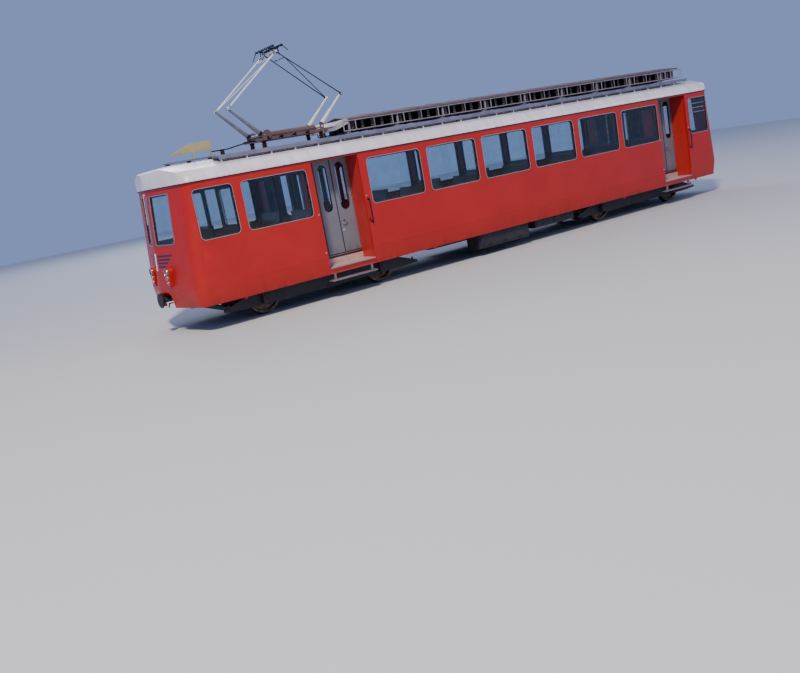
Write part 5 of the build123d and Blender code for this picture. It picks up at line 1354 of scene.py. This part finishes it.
def dress_lower_arms(end, way, sleeve_radius, sleeve_finish):
    """A sleeve and a collar on both lower arms of one end."""
    collars = bmesh.new()
    sleeves = bmesh.new()
    for side in (-1, 1):
        start = Vector((PANTO_X + way * PIVOT_OFFSET, side * ARM_Y, PIVOT_Z))
        knee = Vector((PANTO_X + way * KNEE_OFFSET, side * ARM_Y, KNEE_Z))
        run = (knee - start).normalized()
        add_rod(collars, start + run * SLEEVE_START, start + run * 0.095, 0.054, 0.053, 24)
        sleeve_end = knee - run * KNEE_CLEARANCE if way < 0 else start + run * MOUNTAIN_SLEEVE_END
        add_rod(sleeves, start + run * SLEEVE_START, sleeve_end, 0.050, sleeve_radius, 24)
    arms = f"lower_arms_{end}"
    end_piece(collars, f"lower_sockets_{end}", "pantograph_steel", body=arms)
    end_piece(sleeves, f"lower_sleeves_{end}", "pantograph_steel", body=arms, finish=sleeve_finish)


def dress_upper_arms(end, way, head_y, knee_radius, head_radius, finish):
    """Collars at both ends of both upper arms of one end."""
    bm = bmesh.new()
    for side in (-1, 1):
        knee = Vector((PANTO_X + way * KNEE_OFFSET, side * UPPER_Y, KNEE_Z))
        head = Vector((PANTO_X, side * head_y, HEAD_Z))
        run = (head - knee).normalized()
        add_rod(bm, knee + run * 0.030, knee + run * 0.075, knee_radius, knee_radius - 0.002, 20)
        add_rod(bm, head - run * 0.130, head - run * 0.060, head_radius, segments=16)
    end_piece(bm, f"upper_sockets_{end}", "pantograph_steel", body=f"upper_arms_{end}", finish=finish)


# The valley end's grey sleeves are painted shade, like its lower arms
dress_lower_arms("valley", -1, 0.0235, "tube_grey")
dress_upper_arms("valley", -1, UPPER_Y, 0.024, 0.021, "worn_chrome")
dress_lower_arms("mountain", 1, 0.0295, "tube_white")
dress_upper_arms("mountain", 1, CUP_Y, 0.017, 0.014, "pantograph_steel")

# %% [markdown]
# ## Collector head
# Each of the two carriers gets a dark strip between clips, and a bright edge on its outer face. Cross
# rods with rollers join the carriers, and short rods hang below them. The edge has a finish of its own,
# so it is a piece of its own. Both pieces ride on the head's body and stay level with it.

# %% Head details and edges
CARRIER_X, ROLLER_X = 0.105, 0.092
YOKE_Y, CLIP_PITCH = 0.215, 0.150
ROD_Z = HEAD_Z + 0.070
STRIP_TOP_Z = HEAD_Z + 0.090
STRIP_HALF, STRIP_END_Y = 0.022, 0.430
bm = bmesh.new()
for way in (-1, 1):
    x = PANTO_X + way * CARRIER_X
    add_block(
        bm, (x - STRIP_HALF, -STRIP_END_Y, STRIP_TOP_Z - 0.012), (x + STRIP_HALF, STRIP_END_Y, STRIP_TOP_Z),
        bevel=0.002)
    for side in (-1, 1):
        for j in (-1, 0, 1):
            y = side * YOKE_Y + CLIP_PITCH * j
            add_block(
                bm, (x - STRIP_HALF - 0.002, y - 0.018, STRIP_TOP_Z - 0.024),
                (x + STRIP_HALF + 0.002, y + 0.018, STRIP_TOP_Z + 0.002), bevel=0.003)
for side in (-1, 1):
    y = side * YOKE_Y
    rod_y = y + side * 0.030
    add_rod(bm, (PANTO_X - ROLLER_X, rod_y, ROD_Z), (PANTO_X + ROLLER_X, rod_y, ROD_Z), 0.008)
    for x in (PANTO_X - ROLLER_X, PANTO_X + ROLLER_X):
        add_rod(bm, (x, y - 0.045, ROD_Z), (x, y + 0.045, ROD_Z), 0.012)
for way in (-1, 1):
    x = PANTO_X + way * CARRIER_X
    for y in (-0.205, -0.105, 0.105, 0.205):
        add_rod(bm, (x, y, HEAD_Z + 0.066), (x + way * 0.012, y, HEAD_Z - 0.030), 0.010, segments=8)
end_piece(bm, "head_details", "pantograph_steel", body="collector_head")

bm = bmesh.new()
for way in (-1, 1):
    x = PANTO_X + way * (CARRIER_X + STRIP_HALF - 0.0025)
    add_block(
        bm, (x - 0.002, 0.005 - STRIP_END_Y, STRIP_TOP_Z - 0.010),
        (x + 0.002, STRIP_END_Y - 0.005, STRIP_TOP_Z + 0.002), bevel=0.001)
end_piece(bm, "head_edges", "pantograph_steel", body="collector_head", finish="tube_white")

# %% [markdown]
# ## Bogies
# Coil springs carry the body on each bogie, brake blocks hang by the wheels, and round covers close the
# axle boxes. A screw modifier could wind the coils, but spin with a rise does it in the mesh itself. One
# function makes each fitting for one corner of a bogie.

# %% Coil springs
BOGIE_X, HALF_BASE, AXLE_Z = 5.050, 1.450, 0.420
COIL_R, COIL_WIRE, COIL_TURNS, COIL_HEIGHT, COIL_STEPS = 0.055, 0.011, 4.5, 0.212, 72
CORNERS = [(x_way, y_way) for x_way in (-1, 1) for y_way in (-1, 1)]
BLOCK_X, BLOCK_THICK = 0.397, 0.050
BLOCK_LOW_Y, BLOCK_HIGH_Y = 0.722, 0.812
PIN_Z = 0.470
COVER_Y = 1.063


def add_coil(bm, foot):
    """A coil spring that stands on a point."""
    before = set(bm.verts)
    section = Matrix.Translation((COIL_R, 0, 0)) @ Matrix.Rotation(pi / 2, 4, "X")
    circle = bmesh.ops.create_circle(
        bm, cap_ends=False, segments=8, radius=COIL_WIRE, matrix=section)["verts"]
    edges = [edge for edge in bm.edges if all(vert in circle for vert in edge.verts)]
    bmesh.ops.spin(
        bm, geom=circle + edges, cent=(0, 0, 0), axis=(0, 0, 1), dvec=(0, 0, COIL_HEIGHT / COIL_STEPS),
        angle=2 * pi * COIL_TURNS, steps=COIL_STEPS, use_merge=False)
    bmesh.ops.translate(bm, vec=foot, verts=[vert for vert in bm.verts if vert not in before])


def add_brake(bm, axle_x, x_way, y_way):
    """A brake block on the inner side of a wheel, with the pin that it hangs from."""
    low_x, high_x = sorted((axle_x - x_way * BLOCK_X, axle_x - x_way * (BLOCK_X + BLOCK_THICK)))
    low_y, high_y = sorted((BLOCK_LOW_Y * y_way, BLOCK_HIGH_Y * y_way))
    add_block(bm, (low_x, low_y, 0.320), (high_x, high_y, 0.500), bevel=0.008)
    pin_x = axle_x - x_way * 0.430
    add_rod(bm, (pin_x, 0.770 * y_way, PIN_Z), (pin_x, 0.902 * y_way, PIN_Z), 0.016)


def add_box_cover(bm, axle_x, y_way):
    """A stepped cover with six bolts on an axle box."""
    # columns: start and end outside the box's face, radius at each, segments
    steps = ((0, 0.015, 0.100, 0.092, 28), (0.013, 0.023, 0.045, 0.038, 20))
    for start, stop, radius, end_radius, segments in steps:
        start_y, stop_y = (COVER_Y + start) * y_way, (COVER_Y + stop) * y_way
        add_rod(bm, (axle_x, start_y, AXLE_Z), (axle_x, stop_y, AXLE_Z), radius, end_radius, segments)
    bolt_circle(bm, (axle_x, (COVER_Y + 0.014) * y_way, AXLE_Z), 0.076, 6, (0, y_way, 0), 0.010, 0.008)


# %% [markdown]
# ## Both bogies
# The four corners of a bogie get the same fittings, and rows of bolts run along its side plates, with a
# gap at each axle box. All of it rides on the bogie frames, 5 mm or more from the wheels.

# %% Springs, brakes and covers on both bogies
FRAME_BOLTS, FRAME_BOLT_X, FRAME_BOLT_PITCH = 13, -1.68, 0.28
BOX_HALF = 0.17
for end, way in (("valley", -1), ("mountain", 1)):
    centre = way * BOGIE_X
    springs = bmesh.new()
    blocks = bmesh.new()
    covers = bmesh.new()
    for x_way, y_way in CORNERS:
        axle_x = centre + HALF_BASE * x_way
        add_coil(springs, (centre + 0.095 * x_way, 0.400 * y_way, 0.534))
        add_brake(blocks, axle_x, x_way, y_way)
        add_box_cover(covers, axle_x, y_way)
        foot = (centre + x_way * 2.30, 0.930 * y_way, 0.330)
        add_rod(blocks, foot, (foot[0], foot[1], 0.395), 0.020)
    for y_way in (-1, 1):
        for i in range(FRAME_BOLTS):
            offset = FRAME_BOLT_X + FRAME_BOLT_PITCH * i
            if min(abs(offset - HALF_BASE), abs(offset + HALF_BASE)) > BOX_HALF:
                for z in (0.272, 0.478):
                    add_bolt(covers, (centre + offset, 0.959 * y_way, z), (0, y_way, 0), 0.012, 0.008)
    bogie = f"bogie_{end}"
    end_piece(springs, f"bogie_springs_{end}", "chassis_paint", body=bogie, finish="pantograph_steel")
    end_piece(blocks, f"brake_blocks_{end}", "chassis_paint", body=bogie, finish="wheel_steel")
    end_piece(covers, f"axle_box_covers_{end}", "chassis_paint", body=bogie)

# %% [markdown]
# ## Wheels
# A wheel has a raised ring near the tread and a circle of bolts round the hub. Without them a turning
# wheel would look still. They are one piece for each wheelset and ride on its body.

# %% Wheel rings
WHEEL_FACE_Y = 0.816
for number, x in enumerate((-6.500, -3.600, 3.600, 6.500), start=1):
    bm = bmesh.new()
    for y_way in (-1, 1):
        place = Matrix.Translation((x, WHEEL_FACE_Y * y_way, AXLE_Z)) @ TO_NEAR_SIDE
        add_loop(bm, 0.330, 0.007, place, steps=48)
        bolt_circle(bm, (x, (WHEEL_FACE_Y - 0.003) * y_way, AXLE_Z), 0.150, 8, (0, y_way, 0), 0.014, 0.012)
    end_piece(bm, f"wheel_rings_{number}", "wheel_steel", body=f"wheelset_{number}")

# %% [markdown]
# ## Under the floor
# The equipment and battery boxes are sheet steel with pressed ribs, hinges below and latches above. The
# ribs could be a bump, but they stand against the light at the lid's edge, so they are thin blocks. Their
# places are shares of each box's own length.

# %% Box ribs and latches
# columns: low x, high x, low z, high z
boxes = ((-0.990, 0.610, 0.185, 0.590), (0.840, 2.190, 0.330, 0.550))
LID_Y = -1.264
LID_BACK_Y = LID_Y + 0.002
HINGE_Y = LID_Y - 0.004
bm = bmesh.new()
handles = bmesh.new()
for low_x, high_x, low_z, high_z in boxes:
    for i in range(3):
        x = low_x + (high_x - low_x) * (0.2 + 0.3 * i)
        hinge_z = low_z + 0.068
        add_block(
            handles, (x - 0.02, LID_Y - 0.014, high_z - 0.075), (x + 0.02, LID_BACK_Y, high_z - 0.030),
            bevel=0.003)
        add_rod(handles, (x - 0.05, HINGE_Y, hinge_z), (x + 0.05, HINGE_Y, hinge_z), 0.009)
    for i in range(5):
        x = low_x + 0.12 + (high_x - low_x - 0.24) * i / 4
        add_block(
            bm, (x - 0.010, LID_Y - 0.006, low_z + 0.085), (x + 0.010, LID_BACK_Y, high_z - 0.085),
            bevel=0.002)
end_piece(bm, "box_ribs", "chassis_paint", mirror="Y")
end_piece(handles, "box_latches", "grab_rail_steel", finish="pantograph_steel", mirror="Y")

# %% [markdown]
# ## Pipes and reservoir
# Two pipes run the length of the car on brackets, and an air reservoir hangs by straps on the far side.
# The real reservoir has dished ends, but in the shade under the floor a cylinder with short cones at its
# ends is near enough.

# %% Pipes and reservoir
PIPE_Y, PIPE_Z, PIPE_END_X = -0.545, 0.888, 7.60
bm = bmesh.new()
add_rod(bm, (-PIPE_END_X, PIPE_Y, PIPE_Z), (PIPE_END_X, PIPE_Y, PIPE_Z), 0.014)
for x in (-6.95, -6.25, -5.50, -3.85, -2.40, -0.90, 0.95, 2.08, 3.30, 4.50, 5.60, 7.15):
    add_block(bm, (x - 0.015, PIPE_Y - 0.022, 0.870), (x + 0.015, PIPE_Y + 0.022, 0.911), bevel=0.003)
end_piece(bm, "brake_pipes", "chassis_paint", mirror="Y")

TANK_LOW_X, TANK_HIGH_X, TANK_Y, TANK_Z, TANK_R = -2.25, -1.20, 0.95, 0.690, 0.150
bm = bmesh.new()
add_rod(bm, (TANK_LOW_X, TANK_Y, TANK_Z), (TANK_HIGH_X, TANK_Y, TANK_Z), TANK_R, segments=32)
for x, way in ((TANK_LOW_X, -1), (TANK_HIGH_X, 1)):
    add_rod(bm, (x, TANK_Y, TANK_Z), (x + way * 0.045, TANK_Y, TANK_Z), TANK_R, 0.085, 32)
for x in (-2.05, -1.40):
    add_rod(bm, (x - 0.018, TANK_Y, TANK_Z), (x + 0.018, TANK_Y, TANK_Z), TANK_R + 0.005, segments=32)
    for y in (TANK_Y - 0.152, TANK_Y + 0.152):
        add_block(bm, (x - 0.018, y - 0.004, TANK_Z), (x + 0.018, y + 0.004, 0.960))
end_piece(bm, "air_reservoir", "chassis_paint")

# %% [markdown]
# ## Coupler details
# Behind each buffer plate is a ring of bolts, below the shank a safety hook, and beside it two hose
# hooks. A hook is a bent round bar: rods from point to point, with a ball at each bend.

# %% Bolts and hooks
BUFFER_BACK_X, COUPLER_Z = 8.352, 0.700
bm = bmesh.new()
bolt_circle(bm, (BUFFER_BACK_X, 0, COUPLER_Z), 0.118, 8, (-1, 0, 0), 0.012, 0.012)
add_path(bm, [(7.90, 0, 0.630), (7.90, 0, 0.560), (7.97, 0, 0.530), (8.03, 0, 0.560)], 0.014)
for y in (0.250, -0.250):
    add_path(bm, [(8.215, y, 0.640), (8.300, y, 0.640), (8.320, y, 0.560)], 0.013)
end_piece(bm, "coupler_details", "chassis_paint", finish="pantograph_steel", mirror="X")

# %% [markdown]
# ## Floor and light
# A pale floor runs out to a soft blue-grey backdrop. One broad warm lamp stands high over the near
# side, towards the valley end, and two weaker ones soften the shadows. A sun could light the car too, but
# area lamps show as broad soft highlights in paint and glass.

# %% Studio
FLOOR_HALF = 45
floor_bm = bmesh.new()
bmesh.ops.create_grid(floor_bm, x_segments=1, y_segments=1, size=FLOOR_HALF)
floor_mesh = bpy.data.meshes.new("studio_floor")
floor_bm.to_mesh(floor_mesh)
floor_bm.free()
floor = bpy.data.objects.new("studio_floor", floor_mesh)
floor.location.z = cad_low.z - 0.001
bpy.context.scene.collection.objects.link(floor)
# Matt floor paint, rolled: it takes the shadow and gives no reflection
floor_paint, tree, _ = start_finish("floor_pale")
end_finish(tree, linear("#C9CBCD"), 0.9)
floor_mesh.materials.append(floor_paint)

world = bpy.data.worlds.new("studio_backdrop")
world.use_nodes = True
world.node_tree.nodes["Background"].inputs["Color"].default_value = linear("#9AB2F0")
world.node_tree.nodes["Background"].inputs["Strength"].default_value = 0.66
bpy.context.scene.world = world


def add_lamp(name, place, target, size, watts, colour):
    """A square area lamp that looks at a point."""
    data = bpy.data.lights.new(name, "AREA")
    data.size, data.energy, data.color = size, watts, linear(colour)[:3]
    lamp = bpy.data.objects.new(name, data)
    look = Vector(target) - Vector(place)
    lamp.matrix_world = Matrix.Translation(place) @ look.to_track_quat("-Z", "Y").to_matrix().to_4x4()
    bpy.context.scene.collection.objects.link(lamp)
    print("lamp", name, watts, "W")


add_lamp("key_lamp", (-20, -20, 30), (0, 0, 2), 4, 15500, "#FFEFD8")
add_lamp("fill_lamp", (26, -22, 14), (2, 0, 2), 16, 1500, "#E6EEFF")
add_lamp("back_lamp", (4, 30, 20), (0, 0, 2), 16, 3500, "#F2F6FF")

# %% [markdown]
# ## The triangles
# The triangles of all made pieces are added up, and the largest piece is named. The dressed model has
# to stay inside the CAD model's box.

# %% Sizes and finish
largest = max(made_triangles, key=made_triangles.get)
print("triangles", sum(made_triangles.values()), "largest", largest, made_triangles[largest])
